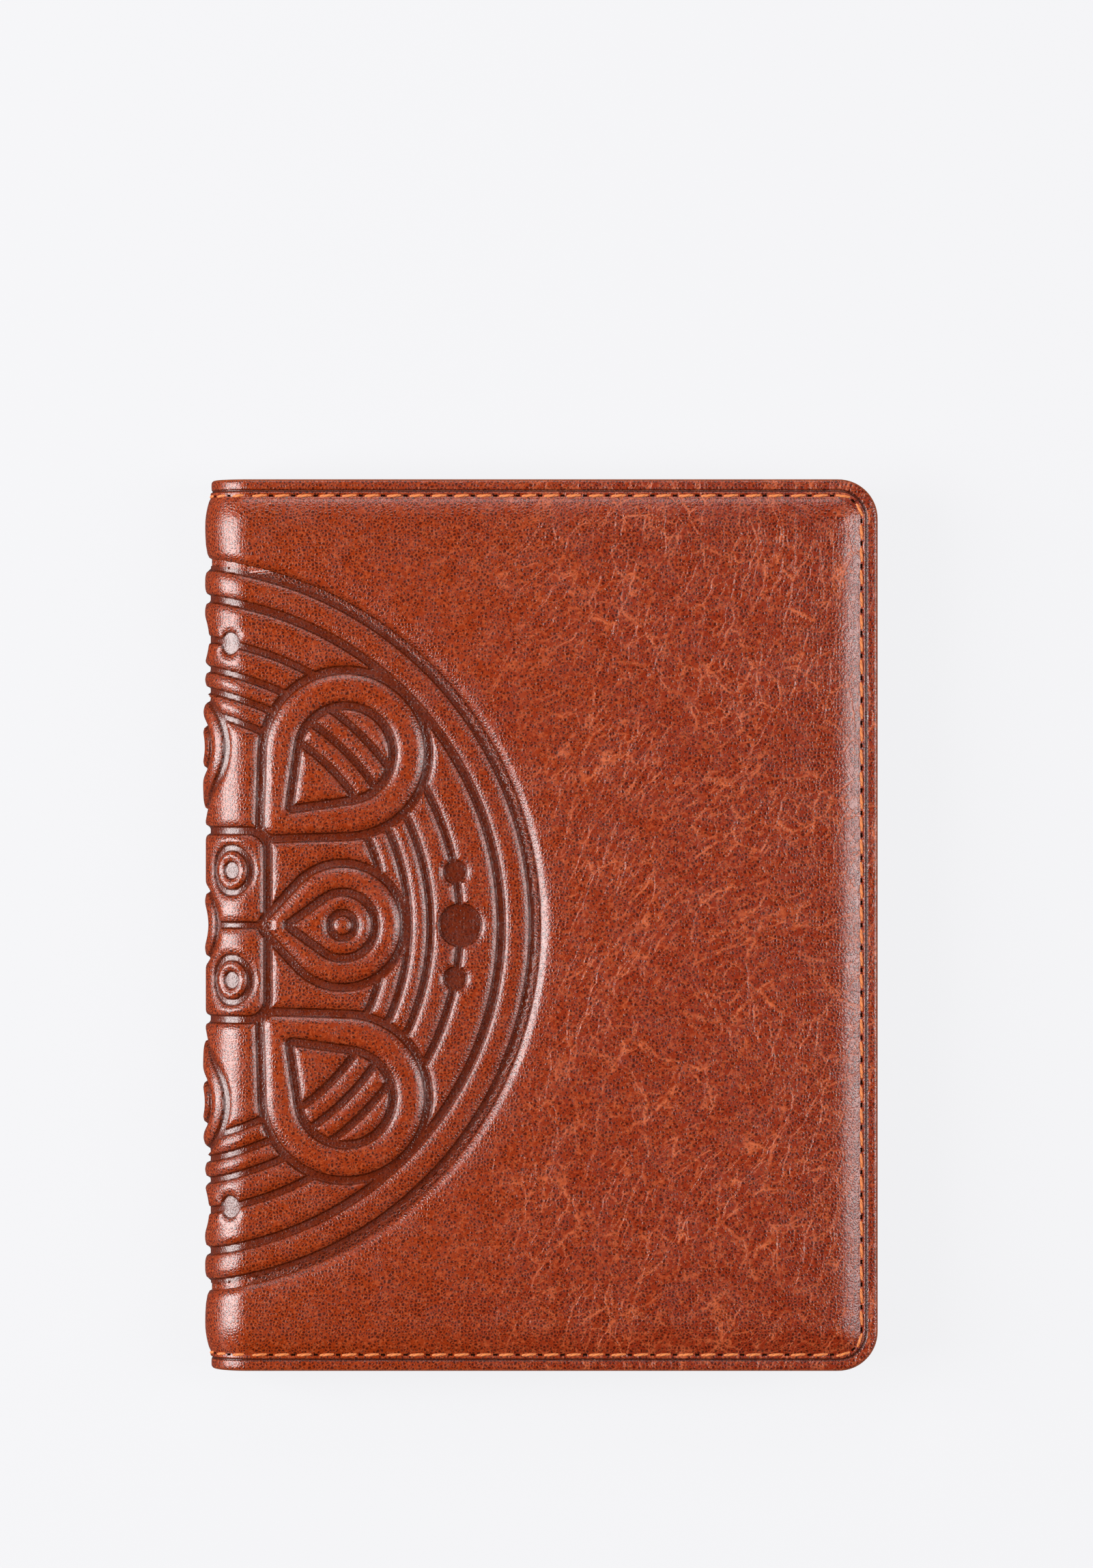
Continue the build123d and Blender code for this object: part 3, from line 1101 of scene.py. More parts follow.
@dataclass(frozen=True)
class NeedleShadow(Finish):
    """Painted shade of a needle hole: the dark, rough inside of the hole, on a plug."""

    name: str = "needle_hole"
    rim: Colour = colour(24, 9, 5)
    deep: Colour = colour(8, 4, 3)

    def paint(self, n: Nodes) -> None:
        """Wires the finish, which reads the strand attribute: distance from the hole's middle."""
        off_middle = n.parts(n.attribute("strand", "Vector"))[0]
        # Painted shade: darkest in the hole's middle.
        tone = n.mix(n.span(off_middle, 0.10, 0.32), self.deep, self.rim)
        n.set(Base_Color=tone, Roughness=0.9, Specular_IOR_Level=0.0)


@dataclass
class Finishes:
    """Every finish of the holder, made once."""

    leather: bpy.types.Material = field(default_factory=lambda: PolishedLeather().build())
    pocket: bpy.types.Material = field(default_factory=lambda: PocketLeather().build())
    suede: bpy.types.Material = field(default_factory=lambda: SuedeLining().build())
    foam: bpy.types.Material = field(default_factory=lambda: FoamSheet().build())
    thread: bpy.types.Material = field(default_factory=lambda: WaxedThread().build())
    hole: bpy.types.Material = field(default_factory=lambda: NeedleShadow().build())


# ---- Layers that run over the covers and the spine ----

RIM_STEPS = (0.0, 0.05, 0.14, 0.28, 0.45, 0.7, 1.0, 1.3, 1.5, 1.62, 1.74, 1.86, 1.98, 2.15, 2.4, 2.65,
             2.9, 3.2, 3.6, 4.1, 4.7, 5.4, 6.2, 7.2, 8.4, 9.8)
FOAM_STEPS = (0.0, 0.05, 0.15, 0.3, 0.8, 1.5)
SUEDE_STEPS = (0.0, 0.04, 0.1, 0.2, 0.5, 1.2, 2.5)
SUEDE_INSET = 0.14
FOAM_CORNER = 0.4  # how much rounder the foam's corners are than a parallel outline
FINE_STEP = 0.32
COARSE_STEP = 1.25
MEDALLION_REACH = 56.4


@dataclass(frozen=True)
class Fold:
    """One bend of the spine: its stretch of sheet and the two bodies it joins."""

    number: int

    @property
    def start(self) -> float:
        """Angle where the bend begins, in radians."""
        return (self.number - 1) * math.pi / SIZES.folds

    @property
    def end(self) -> float:
        """Angle where the bend ends, in radians."""
        return self.number * math.pi / SIZES.folds

    @property
    def bodies(self) -> tuple[str, str]:
        """The bodies before and after the bend."""
        joint = frame["joints"][self.number - 1]
        return joint["parent"], joint["child"]

    def s_of(self, theta: float) -> float:
        """Place along the sheet of an angle round the spine."""
        return (theta - math.pi / 2) * SIZES.radius

    def bend(self, piece: bpy.types.Object, inner: float) -> None:
        """Bakes a piece's placement into its mesh.

        Args:
            piece: the piece.
            inner: depth of the piece's inner face below the leather's outer face; not used.
        """
        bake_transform(piece)


FOLDS = tuple(Fold(number) for number in range(1, SIZES.folds + 1))


@dataclass
class Layer:
    """A layer of the folder, cut from one sheet: two covers and the bends of the spine."""

    name: str
    node: str
    slot: str
    material: bpy.types.Material
    outer: Height
    inner: Height
    outline: Outline
    along: Array
    across: Array
    bend_step: float
    depth: float
    cuts: tuple[float, ...] = ()
    shading: Height | None = None
    groove: Height | None = None
    fill: float | None = None

    def piece(self, name: str, along: Array, outline: Outline, sign: int = 1,
              cuts: tuple[float, ...] = ()) -> bpy.types.Object:
        """Builds one stretch of the layer.

        Args:
            name: the piece's name.
            along: its grid lines along the sheet.
            outline: its outline.
            sign: the sign of s on it.
            cuts: insets of the cuts in its inner face.

        Returns:
            The piece.
        """
        sheet = Sheet(name, along, self.across, self.outer, self.inner, outline, sign,
                      inside_cuts=cuts, shading=self.shading, groove=self.groove)
        return finish_piece(sheet.build(), name, self.material)

    def build(self) -> None:
        """Builds the layer on both covers and over the bends."""
        for side in Side:
            outline = replace(self.outline, near=SIZES.quarter)
            piece = self.piece(f"{side.label}_{self.name}", self.along, outline, side.value, self.cuts)
            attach(piece, side.body)
            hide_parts(f"{side.label}_{self.node}")
        for fold in FOLDS:
            start, end = fold.s_of(fold.start), fold.s_of(fold.end)
            outline = replace(self.outline, near=start, far=end, far_radius=0.0)
            piece = self.piece(f"spine_{self.name}_{fold.number}",
                               grid_lines((start, end, self.bend_step)), outline)
            if fold.number < SIZES.folds:
                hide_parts(f"spine_{self.node}_{fold.number}")
            fold.bend(piece, self.depth)


def rounded_faces(outline: Outline, top: float, bottom: float, roundness: float,
                  clearance: float) -> tuple[Height, Height]:
    """Outer and inner face of a flat layer with rounded edges.

    Args:
        outline: the layer's outline.
        top: depth of its outer face.
        bottom: depth of its inner face.
        roundness: radius of its edges.
        clearance: gap left to the layers on both sides.

    Returns:
        The heights of the two faces.
    """
    def drop(s: Array, y: Array) -> Array:
        """How far the rounded edge has dropped at a place."""
        return round_over(outline.inside(np.abs(s), y), roundness)

    return lambda s, y: -top - clearance - drop(s, y), lambda s, y: -bottom + clearance + drop(s, y)


def outer_leather(finishes: Finishes) -> Layer:
    """The outer leather, whose grid is close under the medallion and at the rim."""
    outline = cover_outline(0.0, SIZES.corner_radius)
    plain = (MEDALLION_REACH, outline.far - RIM_STEPS[-1], COARSE_STEP)
    step_end = SIZES.foam_inset - FOAM_GAP
    cuts = (SIZES.foam_ramp, (SIZES.foam_ramp + step_end) / 2, step_end)
    along, across = framed(outline, RIM_STEPS,
                           grid_lines((SIZES.quarter, MEDALLION_REACH, FINE_STEP), plain),
                           grid_lines((-MEDALLION_REACH, MEDALLION_REACH, FINE_STEP)))
    return Layer("outer_leather", "leather", "outer_leather", finishes.leather, RELIEF.height, under_leather,
                 outline, along, across, bend_step=FINE_STEP, depth=SIZES.shell,
                 cuts=cuts, shading=RELIEF.broad, groove=RELIEF.medallion.groove)


def foam_padding(finishes: Finishes) -> Layer:
    """The foam between leather and lining, inside the seam."""
    outline = cover_outline(SIZES.foam_inset, SIZES.corner_radius - SIZES.foam_inset + FOAM_CORNER)
    along, across = framed(outline, FOAM_STEPS, grid_lines((SIZES.quarter, outline.far - 2, 3.0)),
                           grid_lines((outline.low + 2, outline.high - 2, 3.0)))
    outer, inner = rounded_faces(outline, SIZES.leather, SIZES.shell, roundness=0.3, clearance=0.02)
    return Layer("foam", "padding", "foam", finishes.foam, outer, inner, outline, along, across,
                 bend_step=0.8, depth=SIZES.shell, fill=0.5)


def suede_lining(finishes: Finishes) -> Layer:
    """The lining that faces the passport."""
    outline = cover_outline(SUEDE_INSET, SIZES.corner_radius - SUEDE_INSET)
    corner = outline.far - outline.far_radius
    along, across = framed(outline, SUEDE_STEPS,
                           np.union1d(grid_lines((SIZES.quarter, corner, 2.5)),
                                      grid_lines((corner, outline.far - 2.5, 1.2))),
                           grid_lines((outline.low + 2.5, outline.high - 2.5, 2.5)))
    outer, inner = rounded_faces(outline, SIZES.shell, SIZES.lining, roundness=0.2, clearance=0.01)
    return Layer("suede", "lining", "lining_leather", finishes.suede, outer, inner, outline, along, across,
                 bend_step=0.5, depth=SIZES.lining)


# ---- Pockets ----

SLEEVE_STEPS = (0.0, 0.06, 0.16, 0.34, 0.7, 1.0, 1.15, 1.3, 1.45, 1.6, 1.75, 1.9, 2.2, 2.5, 2.8, 3.1,
                3.5, 3.9, 4.3, 4.7, 5.2, 6.0)
POCKET_STEPS = (0.0, 0.06, 0.15, 0.3, 0.6, 0.9, 1.2, 1.35, 1.5, 1.65, 1.8, 2.0, 2.3, 2.6, 3.0)


def pressed_line(distance: Array, at: float, depth: float, width: float) -> Array:
    """Depth of a creased line at a distance inside an edge."""
    return depth * np.exp(-(((distance - at) / width) ** 2))


@dataclass
class Pocket:
    """A piece of thin leather that is sewn down except along its mouth, drawn on the sheet."""

    finishes: Finishes

    def depth(self, s: Array, y: Array) -> tuple[Array, Array]:
        """Distances inside the sewn edges and inside the mouth."""
        raise NotImplementedError

    def inside(self, s: Array, y: Array) -> Array:
        """Distance inside the pocket's edges."""
        return np.minimum(*self.depth(s, y))

    def finish(self, sheet: Sheet, side: Side, node: str, under: str, area: float | None = None) -> None:
        """Builds a drawn pocket and hangs it on its cover.

        Args:
            sheet: the drawn pocket.
            side: the cover it is sewn to.
            node: the CAD node it stands for.
            under: the CAD node it lies on; not used.
            area: its flat area in square metres, where its cut isn't a rectangle; not used.
        """
        piece = finish_piece(sheet.build(), sheet.name, self.finishes.pocket)
        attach(piece, side.body)
        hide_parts(node)


@dataclass
class PassportSleeve(Pocket):
    """The sleeve that takes one board of the passport, sewn on three sides, with a hollowed mouth."""

    side: Side
    inset: float = 0.08
    roundness: float = 0.34
    clearance: float = 0.01
    mouth_x: float = -23.0
    mouth_sweep: float = 6.0
    hollow_reach: float = 22.0
    lift_insets: tuple[float, float] = (3.4, 5.2)
    # Each creased line's inset, depth and width.
    mouth_crease: tuple[float, float, float] = (1.6, 0.20, 0.26)
    edge_crease: tuple[float, float, float] = (1.3, 0.10, 0.22)
    channel_depth: float = 0.10
    channel_in: tuple[float, float] = (1.9, 2.2)
    channel_out: tuple[float, float] = (2.8, 3.1)

    @property
    def near(self) -> float:
        """Place along the sheet of the mouth's ends."""
        return SIZES.quarter + self.mouth_x - SIZES.spine_x

    def mouth(self, y: Array) -> Array:
        """How far the mouth's arc is hollowed at a place across the sheet."""
        half = SIZES.half_height
        radius = (half * half + self.mouth_sweep ** 2) / (2 * self.mouth_sweep)
        return np.sqrt(np.maximum(radius * radius - y * y, 0.0)) - (radius - self.mouth_sweep)

    def hollow(self, u: Array, y: Array) -> tuple[Array, Array]:
        """Draws the straight mouth in to its arc."""
        share = np.clip((self.near + self.hollow_reach - u) / self.hollow_reach, 0.0, 1.0)
        return u + share * self.mouth(y), y

    def depth(self, s: Array, y: Array) -> tuple[Array, Array]:
        """Distances inside the sewn edges and inside the mouth."""
        u = np.abs(s)
        sewn = cover_outline(self.inset, SIZES.corner_radius - self.inset)
        return sewn.inside(u, y), u - self.near - self.mouth(y)

    def room(self, sewn: Array) -> Array:
        """How far the sleeve is lifted off the lining, for the board."""
        return (SIZES.sleeve_field - SIZES.sleeve) * smooth(*self.lift_insets, sewn)

    def above(self, s: Array, y: Array) -> Array:
        """The face towards the lining."""
        edge = round_over(self.inside(s, y), self.roundness)
        return -SIZES.lining - self.clearance - self.room(self.depth(s, y)[0]) - edge

    def below(self, s: Array, y: Array) -> Array:
        """The face towards the passport's pages."""
        sewn, mouth = self.depth(s, y)
        edge = round_over(np.minimum(sewn, mouth), self.roundness)
        crease = pressed_line(mouth, *self.mouth_crease) + pressed_line(sewn, *self.edge_crease)
        channel = self.channel_depth * smooth(*self.channel_in, sewn) * (1 - smooth(*self.channel_out, sewn))
        return -SIZES.sleeve - self.room(sewn) + edge + crease + channel

    def build(self) -> None:
        """Builds the sleeve, riding on its cover."""
        outline = replace(cover_outline(self.inset, SIZES.corner_radius - self.inset),
                          near=self.near, cut_near=False)
        along, across = framed(outline, SLEEVE_STEPS,
                               grid_lines((outline.near + 6, outline.far - 6, 2.0)),
                               grid_lines((outline.low + 6, outline.high - 6, 2.0)))
        label = self.side.label
        sheet = Sheet(f"{label}_passport_sleeve", along, across, self.above, self.below, outline,
                      self.side.value, reshape=self.hollow, inside=self.inside)
        width, length = outline.flat
        self.finish(sheet, self.side, f"{label}_sleeve", f"{label}_lining",
                    (width - self.mouth_sweep * MM * 2 / 3) * length)


@dataclass
class CardPocket(Pocket):
    """A patch pocket for cards on the front sleeve, sewn on two sides and its foot."""

    name: str
    node: str
    base: float
    room: float
    mouth_y: float
    wall: float
    width: float = 60.0
    inset: float = 5.2
    corner: float = 3.0
    leather: float = 0.7
    roundness: float = 0.3
    clearance: float = 0.01
    slope_out: float = 0.5
    slope_in: float = 0.4
    mouth_crease: tuple[float, float, float] = (1.5, 0.20, 0.26)

    def outline(self) -> Outline:
        """The pocket's outline on the sheet."""
        far = SIZES.far - self.inset
        return Outline(far - self.width, far, -SIZES.half_height + self.inset, self.mouth_y,
                       low_radius=self.corner)

    def depth(self, s: Array, y: Array) -> tuple[Array, Array]:
        """Distances inside the sewn edges and inside the mouth."""
        outline = self.outline()
        return replace(outline, high=outline.high + 99.0).inside(np.abs(s), y), self.mouth_y - y

    def lifted(self, sewn: Array) -> Array:
        """How far the pocket is lifted, for the card."""
        return self.room * smooth(self.wall - self.slope_out, self.wall + self.slope_in, sewn)

    def above(self, s: Array, y: Array) -> Array:
        """The face towards the sleeve."""
        edge = round_over(self.inside(s, y), self.roundness)
        return -self.base - self.clearance - self.lifted(self.depth(s, y)[0]) - edge

    def below(self, s: Array, y: Array) -> Array:
        """The face towards the passport's pages."""
        sewn, mouth = self.depth(s, y)
        edge = round_over(np.minimum(sewn, mouth), self.roundness)
        crease = pressed_line(mouth, *self.mouth_crease)
        return -self.base - self.leather - self.lifted(sewn) + edge + crease

    def build(self) -> None:
        """Builds the pocket, riding on the front cover."""
        outline = self.outline()
        along, across = framed(outline, POCKET_STEPS,
                               grid_lines((outline.near + 3, outline.far - 3, 2.0)),
                               grid_lines((outline.low + 3, outline.high - 3, 2.0)))
        sheet = Sheet(self.name, along, across, self.above, self.below, outline, Side.FRONT.value,
                      inside=self.inside)
        self.finish(sheet, Side.FRONT, self.node, "front_sleeve")


# ---- Seams ----

@dataclass(frozen=True)
class Place:
    """Where a stitch lies: along and across the sheet, and its direction in radians."""

    s: float
    y: float
    turn: float


@dataclass(frozen=True)
class SeamPath:
    """Straight runs joined by round corners, walked at an even pitch."""

    points: tuple[tuple[float, float], ...]
    corner: float

    def runs(self) -> list[tuple[float, Callable[[float], Place]]]:
        """The path's runs and corners in order, each with its length and a way to walk it."""
        found: list[tuple[float, Callable[[float], Place]]] = []
        points = [Vector(point) for point in self.points]
        last = len(points) - 1
        for index in range(last):
            way = (points[index + 1] - points[index]).normalized()
            start = points[index] + way * (self.corner if index else 0.0)
            end = points[index + 1] - way * (self.corner if index + 1 < last else 0.0)
            turn = math.atan2(way.y, way.x)
            found.append(((end - start).length,
                          lambda d, start=start, way=way, turn=turn:
                          Place(start.x + way.x * d, start.y + way.y * d, turn)))
            if index + 1 < last:
                onward = (points[index + 2] - points[index + 1]).normalized()
                hand = 1.0 if way.x * onward.y - way.y * onward.x > 0 else -1.0
                centre = end + Vector((-way.y, way.x)) * hand * self.corner
                found.append((self.corner * math.pi / 2,
                              lambda d, centre=centre, turn=turn, hand=hand:
                              self.on_corner(centre, turn, hand, d)))
        return found

    def on_corner(self, centre: Vector, turn: float, hand: float, distance: float) -> Place:
        """A place on a round corner, at a distance from its start."""
        angle = turn + hand * distance / self.corner
        x = centre.x + math.sin(angle) * hand * self.corner
        y = centre.y - math.cos(angle) * hand * self.corner
        return Place(x, y, angle)

    def walk(self, pitch: float, offset: float) -> list[Place]:
        """Places at an even pitch along the whole path.

        Args:
            pitch: the pitch asked for, which is evened out over the path.
            offset: where in each step the place lies, from 0 to 1.

        Returns:
            The places, from one end to the other.
        """
        runs = self.runs()
        total = sum(length for length, _ in runs)
        count = round(total / pitch)
        places = []
        for step in range(count + (offset == 0.0)):
            distance = (step + offset) * total / count
            for length, at in runs:
                if distance <= length + 1e-9:
                    places.append(at(distance))
                    break
                distance -= length
        return places


@dataclass(frozen=True)
class Stitch:
    """One visible stitch: a short arch of twisted thread whose ends dive into the leather."""

    length: float = 2.58
    width: float = 0.46
    height: float = 0.42
    dive: float = 0.34
    end_width: float = 0.55
    rings: int = 10
    sides: int = 8
    slant: float = 0.085

    def draw(self) -> bpy.types.Mesh:
        """Draws one stitch along X by pushing a disc of thread along its arch.

        Returns:
            A mesh in millimetres, with the strand attribute: place along the stitch and angle round it.
        """
        bm = bmesh.new()
        strand = bm.verts.layers.float_vector.new("strand")
        ring = bmesh.ops.create_circle(bm, cap_ends=True, segments=self.sides, radius=0.5)["verts"]
        bmesh.ops.rotate(bm, verts=ring, matrix=Matrix.Rotation(math.pi / 2, 3, "Y"))
        self.shape(ring, 0, strand)
        face = bm.faces[:][0]
        for step in range(1, self.rings + 1):
            extruded = bmesh.ops.extrude_face_region(bm, geom=[face])["geom"]
            if step > 1:
                bmesh.ops.delete(bm, geom=[face], context="FACES_ONLY")
            face = next(g for g in extruded if isinstance(g, bmesh.types.BMFace))
            self.shape(list(face.verts), step, strand)
        bmesh.ops.recalc_face_normals(bm, faces=bm.faces)
        mesh = bpy.data.meshes.new("stitch_pattern")
        bm.to_mesh(mesh)
        bm.free()
        return mesh

    def shape(self, verts: Sequence[bmesh.types.BMVert], step: int,
              strand: bmesh.types.BMLayerItem) -> None:
        """Puts one ring of the thread at its place on the arch.

        Args:
            verts: the ring's points.
            step: the ring's number.
            strand: the layer that keeps the place along and round the thread.
        """
        share = step / self.rings
        along = (share - 0.5) * self.length
        arch = math.sin(math.pi * share) ** 0.5 if 0 < share < 1 else 0.0
        full = self.end_width + (1 - self.end_width) * arch
        middle = sum((vert.co / len(verts) for vert in verts), Vector())
        for vert in verts:
            angle = vert[strand].y if step else math.atan2(vert.co.z - middle.z, vert.co.y - middle.y)
            vert[strand] = (along, angle, 0.0)
            vert.co = (along, math.cos(angle) * self.width / 2 * full,
                       math.sin(angle) * self.height / 2 * full - self.dive * (1 - arch))


@dataclass
class Seam:
    """A row of stitches, or of needle holes, set on a surface of the holder."""

    name: str
    places: Sequence[Place]
    level: Height
    outward: bool = True

    def spread(self, pattern: bpy.types.Mesh, slant: float = 0.0) -> bpy.types.Mesh:
        """Repeats a pattern at every place, lays it on the holder, and removes the pattern.

        Args:
            pattern: the mesh to repeat, in millimetres, with its strand attribute.
            slant: angle in radians that each one is turned from the seam.

        Returns:
            One mesh of separate closed shells, in metres.
        """
        bm = bmesh.new()
        up = 1.0 if self.outward else -1.0
        for place in self.places:
            before = len(bm.verts)
            bm.from_mesh(pattern)
            bm.verts.ensure_lookup_table()
            new = bm.verts[before:]
            level = float(self.level(np.array([place.s]), np.array([place.y]))[0])
            turn = Matrix.Rotation(place.turn + slant, 4, "Z")
            flip = Matrix.Diagonal((1.0, 1.0, up, 1.0))
            move = Matrix.Translation((place.s, place.y, level))
            bmesh.ops.transform(bm, matrix=move @ turn @ flip, verts=new)
        mesh = bpy.data.meshes.new(self.name)
        bmesh.ops.recalc_face_normals(bm, faces=bm.faces)
        bm.to_mesh(mesh)
        bm.free()
        co = coordinates(mesh)
        mesh.vertices.foreach_set("co", (lay(co[:, 0], co[:, 1], co[:, 2]) * MM).ravel())
        if np.mean([place.s for place in self.places]) < -SIZES.quarter:
            mesh.flip_normals()
        mesh.update()
        mesh.shade_smooth()
        bpy.data.meshes.remove(pattern)
        return mesh


HOLE_RADII = (0.20, 0.34)  # at the bottom and at the leather's face
HOLE_DEPTH = 0.5
HOLE_STAND = 0.04  # how far the dark plug stands above the leather
HOLE_INSET = 0.08
HOLE_SINK = 0.02


def needle_hole() -> bpy.types.Mesh:
    """Draws one needle hole: a short plug with a sunken end, whose dark finish paints the hole's shade.

    Returns:
        A mesh in millimetres, with the strand attribute: distance from the middle.
    """
    bm = bmesh.new()
    strand = bm.verts.layers.float_vector.new("strand")
    bmesh.ops.create_cone(bm, cap_ends=True, segments=12, radius1=HOLE_RADII[0], radius2=HOLE_RADII[1],
                          depth=HOLE_DEPTH)
    bmesh.ops.translate(bm, verts=bm.verts, vec=(0, 0, HOLE_STAND - HOLE_DEPTH / 2))
    top = max(bm.faces, key=lambda face: face.calc_center_median().z)
    bmesh.ops.inset_region(bm, faces=[top], thickness=HOLE_INSET)
    bmesh.ops.translate(bm, verts=top.verts, vec=(0, 0, -HOLE_SINK))
    for vert in bm.verts:
        vert[strand] = (math.hypot(vert.co.x, vert.co.y), 0.0, 0.0)
    bmesh.ops.recalc_face_normals(bm, faces=bm.faces)
    mesh = bpy.data.meshes.new("needle_hole_pattern")
    bm.to_mesh(mesh)
    bm.free()
    return mesh


@dataclass
class Seams:
    """All the thread of the holder and the needle holes of its outer seam."""

    finishes: Finishes
    sleeve: PassportSleeve
    stitch: Stitch = field(default_factory=Stitch)
    holes_per_fold: int = 2
    outer_lift: float = 0.07
    inner_lift: float = 0.08
    card_inset: float = 1.25
    corner_zone: float = 4.0

    def edge_path(self, sign: int) -> SeamPath:
        """The seam of one cover, from the spine round the fore edge and back."""
        high = SIZES.half_height - SIZES.seam_inset
        far = SIZES.far - SIZES.seam_inset
        corners = ((SIZES.quarter, high), (far, high), (far, -high), (SIZES.quarter, -high))
        return SeamPath(tuple((sign * u, y) for u, y in corners), SIZES.seam_corner)

    def bend_places(self, fold: Fold, offset: float) -> list[Place]:
        """Places of one bend's stitches or holes, at the top and at the bottom."""
        high = SIZES.half_height - SIZES.seam_inset
        places = []
        for step in range(self.holes_per_fold):
            theta = fold.start + (step + offset) / self.holes_per_fold * (fold.end - fold.start)
            places += [Place(fold.s_of(theta), high, 0.0), Place(fold.s_of(theta), -high, math.pi)]
        return places

    def thread(self, name: str, places: Sequence[Place], level: Height,
               outward: bool = False) -> bpy.types.Object:
        """Makes one row of stitches.

        Args:
            name: the piece's name.
            places: where they lie.
            level: the surface they lie on.
            outward: True on the outside of the holder.

        Returns:
            The piece.
        """
        mesh = Seam(name, places, level, outward).spread(self.stitch.draw(), self.stitch.slant)
        return finish_piece(mesh, name, self.finishes.thread)

    def holes(self, name: str, places: Sequence[Place]) -> bpy.types.Object:
        """Makes one row of needle holes in the outer leather."""
        mesh = Seam(name, places, RELIEF.height).spread(needle_hole())
        return finish_piece(mesh, name, self.finishes.hole)

    def thread_level(self, s: Array, y: Array) -> Array:
        """Height of the outer stitches' middles: on the bottom of the channel."""
        return RELIEF.height(s, y) + self.outer_lift

    def inner_level(self, s: Array, y: Array) -> Array:
        """Height of the inner stitches' middles: on the sleeve, or on the lining beyond its mouth."""
        _, mouth = self.sleeve.depth(s, y)
        on_sleeve = self.sleeve.below(s, y)
        return np.where(mouth > 0, on_sleeve, -SIZES.lining) - self.inner_lift

    def outside(self, side: Side) -> None:
        """Builds the outer seam of one cover."""
        path = self.edge_path(side.value)
        piece = self.thread(f"{side.label}_seam_thread", path.walk(SIZES.stitch_pitch, 0.5),
                            self.thread_level, True)
        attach(piece, side.body)
        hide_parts(f"{side.label}_stitching")
        holes = self.holes(f"{side.label}_needle_holes", path.walk(SIZES.stitch_pitch, 0.0)[1:-1])
        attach(holes, side.body)

    def inside(self, side: Side) -> None:
        """Builds the inner side of one cover's seam, which steps from the lining to the sleeve."""
        places = self.edge_path(side.value).walk(SIZES.stitch_pitch, 0.5)
        clear = [p for p in places if abs(abs(p.s) - self.sleeve.near) > self.stitch.length / 2
                 or abs(p.y) < SIZES.half_height - self.corner_zone]
        piece = self.thread(f"{side.label}_inner_seam_thread", clear, self.inner_level)
        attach(piece, side.body)
        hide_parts(f"{side.label}_inner_stitching")

    def bends(self, fold: Fold) -> None:
        """Builds the stitches and holes that cross one bend of the spine."""
        places = self.bend_places(fold, 0.5)
        outer = self.thread(f"spine_seam_thread_{fold.number}", places, self.thread_level, True)
        inner = self.thread(f"spine_inner_seam_thread_{fold.number}", places,
                            lambda s, y: np.full_like(s, -SIZES.lining - self.inner_lift))
        holes = self.holes(f"spine_needle_holes_{fold.number}", self.bend_places(fold, 0.0))
        if fold.number < SIZES.folds:
            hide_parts(f"spine_stitching_{fold.number}")
        for piece, depth in ((outer, SIZES.shell), (inner, SIZES.lining), (holes, SIZES.shell)):
            fold.bend(piece, depth)

    def cards(self, pockets: Sequence[CardPocket]) -> None:
        """Builds the thread that sews both card pockets to the front sleeve.

        Args:
            pockets: the rear and the front pocket.
        """
        rear, front = pockets
        outline, inset = rear.outline(), self.card_inset
        near, far, foot = outline.near + inset, outline.far - inset, outline.low + inset
        top = rear.mouth_y - self.stitch.length
        path = SeamPath(((near, top), (near, foot), (far, foot), (far, top)), rear.corner - inset)

        def level(s: Array, y: Array) -> Array:
            """Height of the stitches' middles: on the front pocket, or on the rear one above its mouth."""
            return np.where(y < front.mouth_y, front.below(s, y), rear.below(s, y)) - self.inner_lift

        places = [p for p in path.walk(SIZES.stitch_pitch, 0.5)
                  if abs(p.y - front.mouth_y) > self.stitch.length / 2]
        piece = self.thread("card_pocket_thread", places, level)
        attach(piece, Side.FRONT.body)
        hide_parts("card_stitching")


# ---- Studio ----

@dataclass(frozen=True)
class SoftBox:
    """A rectangular studio light, aimed at the holder."""

    name: str
    toward: tuple[float, float, float]
    distance: float
    width: float
    height: float
    power: float

    def build(self) -> None:
        """Adds the light."""
        light = bpy.data.lights.new(self.name, "AREA")
        light.shape = "RECTANGLE"
        light.size = self.width
        light.size_y = self.height
        light.energy = self.power
        lamp = bpy.data.objects.new(self.name, light)
        way = Vector(self.toward).normalized()
        lamp.location = way * self.distance
        lamp.rotation_euler = way.to_track_quat("Z", "Y").to_euler()
        bpy.context.scene.collection.objects.link(lamp)


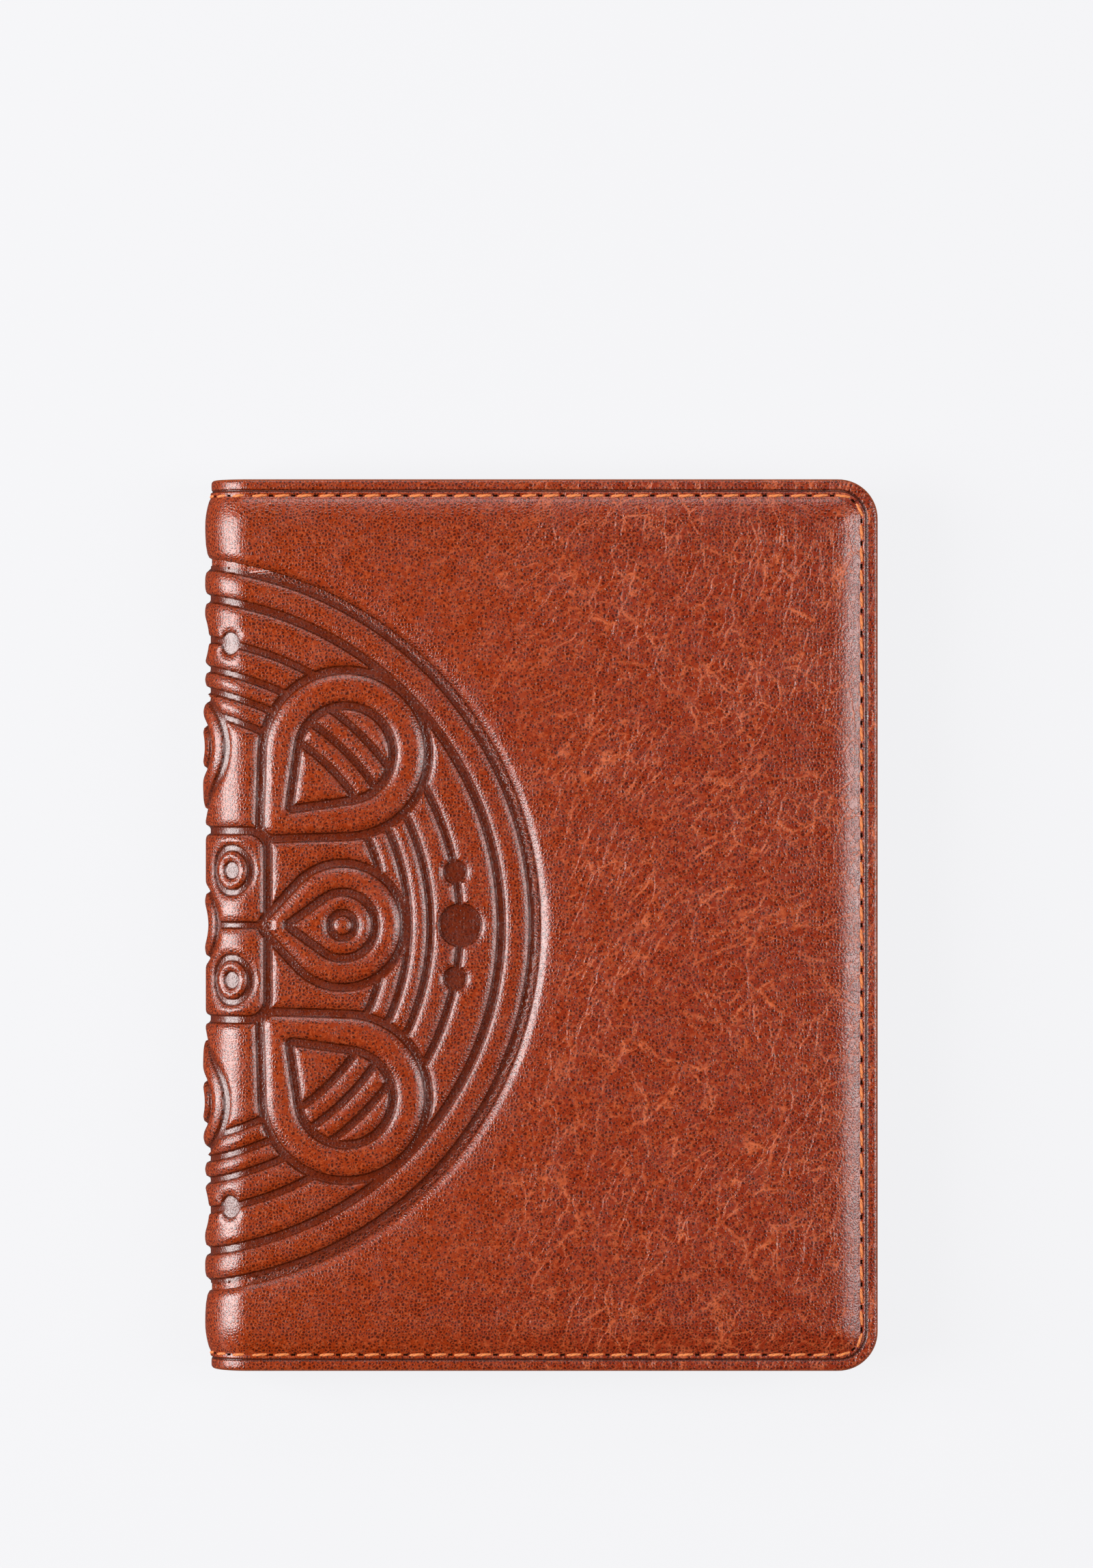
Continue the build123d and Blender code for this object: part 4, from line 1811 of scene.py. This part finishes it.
@dataclass
class Studio:
    """Pale floor, soft lights and a long lens straight above the front cover.

    The view's height, and the place it looks at from the cover's middle, are in heights of the cover.
    """

    view_height: float = 1.75535
    view_middle: tuple[float, float] = (0.00803, 0.15826)
    lens: float = 150.0
    sensor: float = 36.0
    floor_size: float = 6.0
    floor_drop: float = 0.0002
    zenith_light: float = 0.02
    horizon_light: float = 0.80
    ground_light: float = 0.10
    horizon_band: tuple[float, float] = (0.01, 0.12)
    zenith_from: float = 0.30
    lights: tuple[SoftBox, ...] = (
        SoftBox("left_softbox", (-0.80, 0.03, 0.60), 0.75, 0.40, 0.56, 10.0),
        SoftBox("right_softbox", (0.70, 0.03, 0.71), 0.80, 0.30, 0.56, 4.8),
        SoftBox("top_softbox", (-0.05, 0.74, 0.67), 0.80, 0.50, 0.24, 1.7),
    )

    def floor(self) -> None:
        """Adds the plain pale floor."""
        bm = bmesh.new()
        bmesh.ops.create_grid(bm, x_segments=8, y_segments=8, size=self.floor_size / 2)
        bmesh.ops.translate(bm, verts=bm.verts, vec=(0, 0, -self.floor_drop))
        mesh = bpy.data.meshes.new("studio_floor")
        bm.to_mesh(mesh)
        bm.free()
        n = Nodes("pale_floor")
        n.set(Base_Color=colour(60, 60, 61), Roughness=0.9, Specular_IOR_Level=0.0)
        n.set(Emission_Color=colour(245, 245, 247), Emission_Strength=0.92)
        mesh.materials.append(n.material)
        floor = bpy.data.objects.new("studio_floor", mesh)
        floor.visible_glossy = False
        bpy.context.scene.collection.objects.link(floor)

    def world(self) -> None:
        """Adds the even light of the room."""
        world = bpy.data.worlds.new("room_light")
        world.use_nodes = True
        tree = world.node_tree
        background = tree.nodes["Background"]
        height = tree.nodes.new("ShaderNodeSeparateXYZ")
        ramp = tree.nodes.new("ShaderNodeValToRGB")
        tree.links.new(tree.nodes.new("ShaderNodeTexCoord").outputs["Generated"], height.inputs[0])
        tree.links.new(height.outputs["Z"], ramp.inputs[0])
        steps = ramp.color_ramp.elements
        steps[0].position, steps[1].position = 0.0, self.zenith_from
        steps[0].color = (self.ground_light,) * 3 + (1.0,)
        steps[1].color = (self.zenith_light,) * 3 + (1.0,)
        for place in self.horizon_band:
            steps.new(place).color = (self.horizon_light,) * 3 + (1.0,)
        tree.links.new(ramp.outputs["Color"], background.inputs["Color"])
        bpy.context.scene.world = world

    def camera(self) -> None:
        """Adds the camera, high above and square to the front cover."""
        data = bpy.data.cameras.new("camera")
        data.lens = self.lens
        data.sensor_width = self.sensor
        data.sensor_fit = "AUTO"
        data.clip_end = 20.0
        cover = 2 * SIZES.half_height * MM
        x, y = (share * cover for share in self.view_middle)
        distance = self.view_height * cover * self.lens / self.sensor
        camera = bpy.data.objects.new("camera", data)
        camera.location = (x, y, SIZES.thickness * MM + distance)
        bpy.context.scene.collection.objects.link(camera)
        bpy.context.scene.camera = camera

    def build(self) -> None:
        """Adds everything round the holder."""
        self.floor()
        self.world()
        self.camera()
        for light in self.lights:
            light.build()
        view = bpy.context.scene.view_settings
        view.view_transform = "Standard"
        view.look = "None"


# ---- The whole holder ----

def main() -> None:
    """Builds the holder layer by layer, from the outside in, and the studio round it."""
    logging.basicConfig(level=logging.INFO, format="%(name)s: %(message)s")
    finishes = Finishes()
    sleeves = [PassportSleeve(finishes, side) for side in Side]
    pockets = (
        CardPocket(finishes, "rear_card_pocket_leather", "rear_card_pocket", base=3.9, room=0.2,
                   mouth_y=14.0, wall=2.7),
        CardPocket(finishes, "front_card_pocket_leather", "front_card_pocket", base=4.6, room=0.4,
                   mouth_y=0.0, wall=2.2),
    )
    layers = (outer_leather(finishes), foam_padding(finishes), suede_lining(finishes))
    for part in (*layers, *sleeves, *pockets):
        part.build()
    seams = Seams(finishes, sleeves[-1])
    for side in Side:
        seams.outside(side)
        seams.inside(side)
    for fold in FOLDS:
        seams.bends(fold)
    seams.cards(pockets)
    Studio().build()


if __name__ == "__main__":
    main()
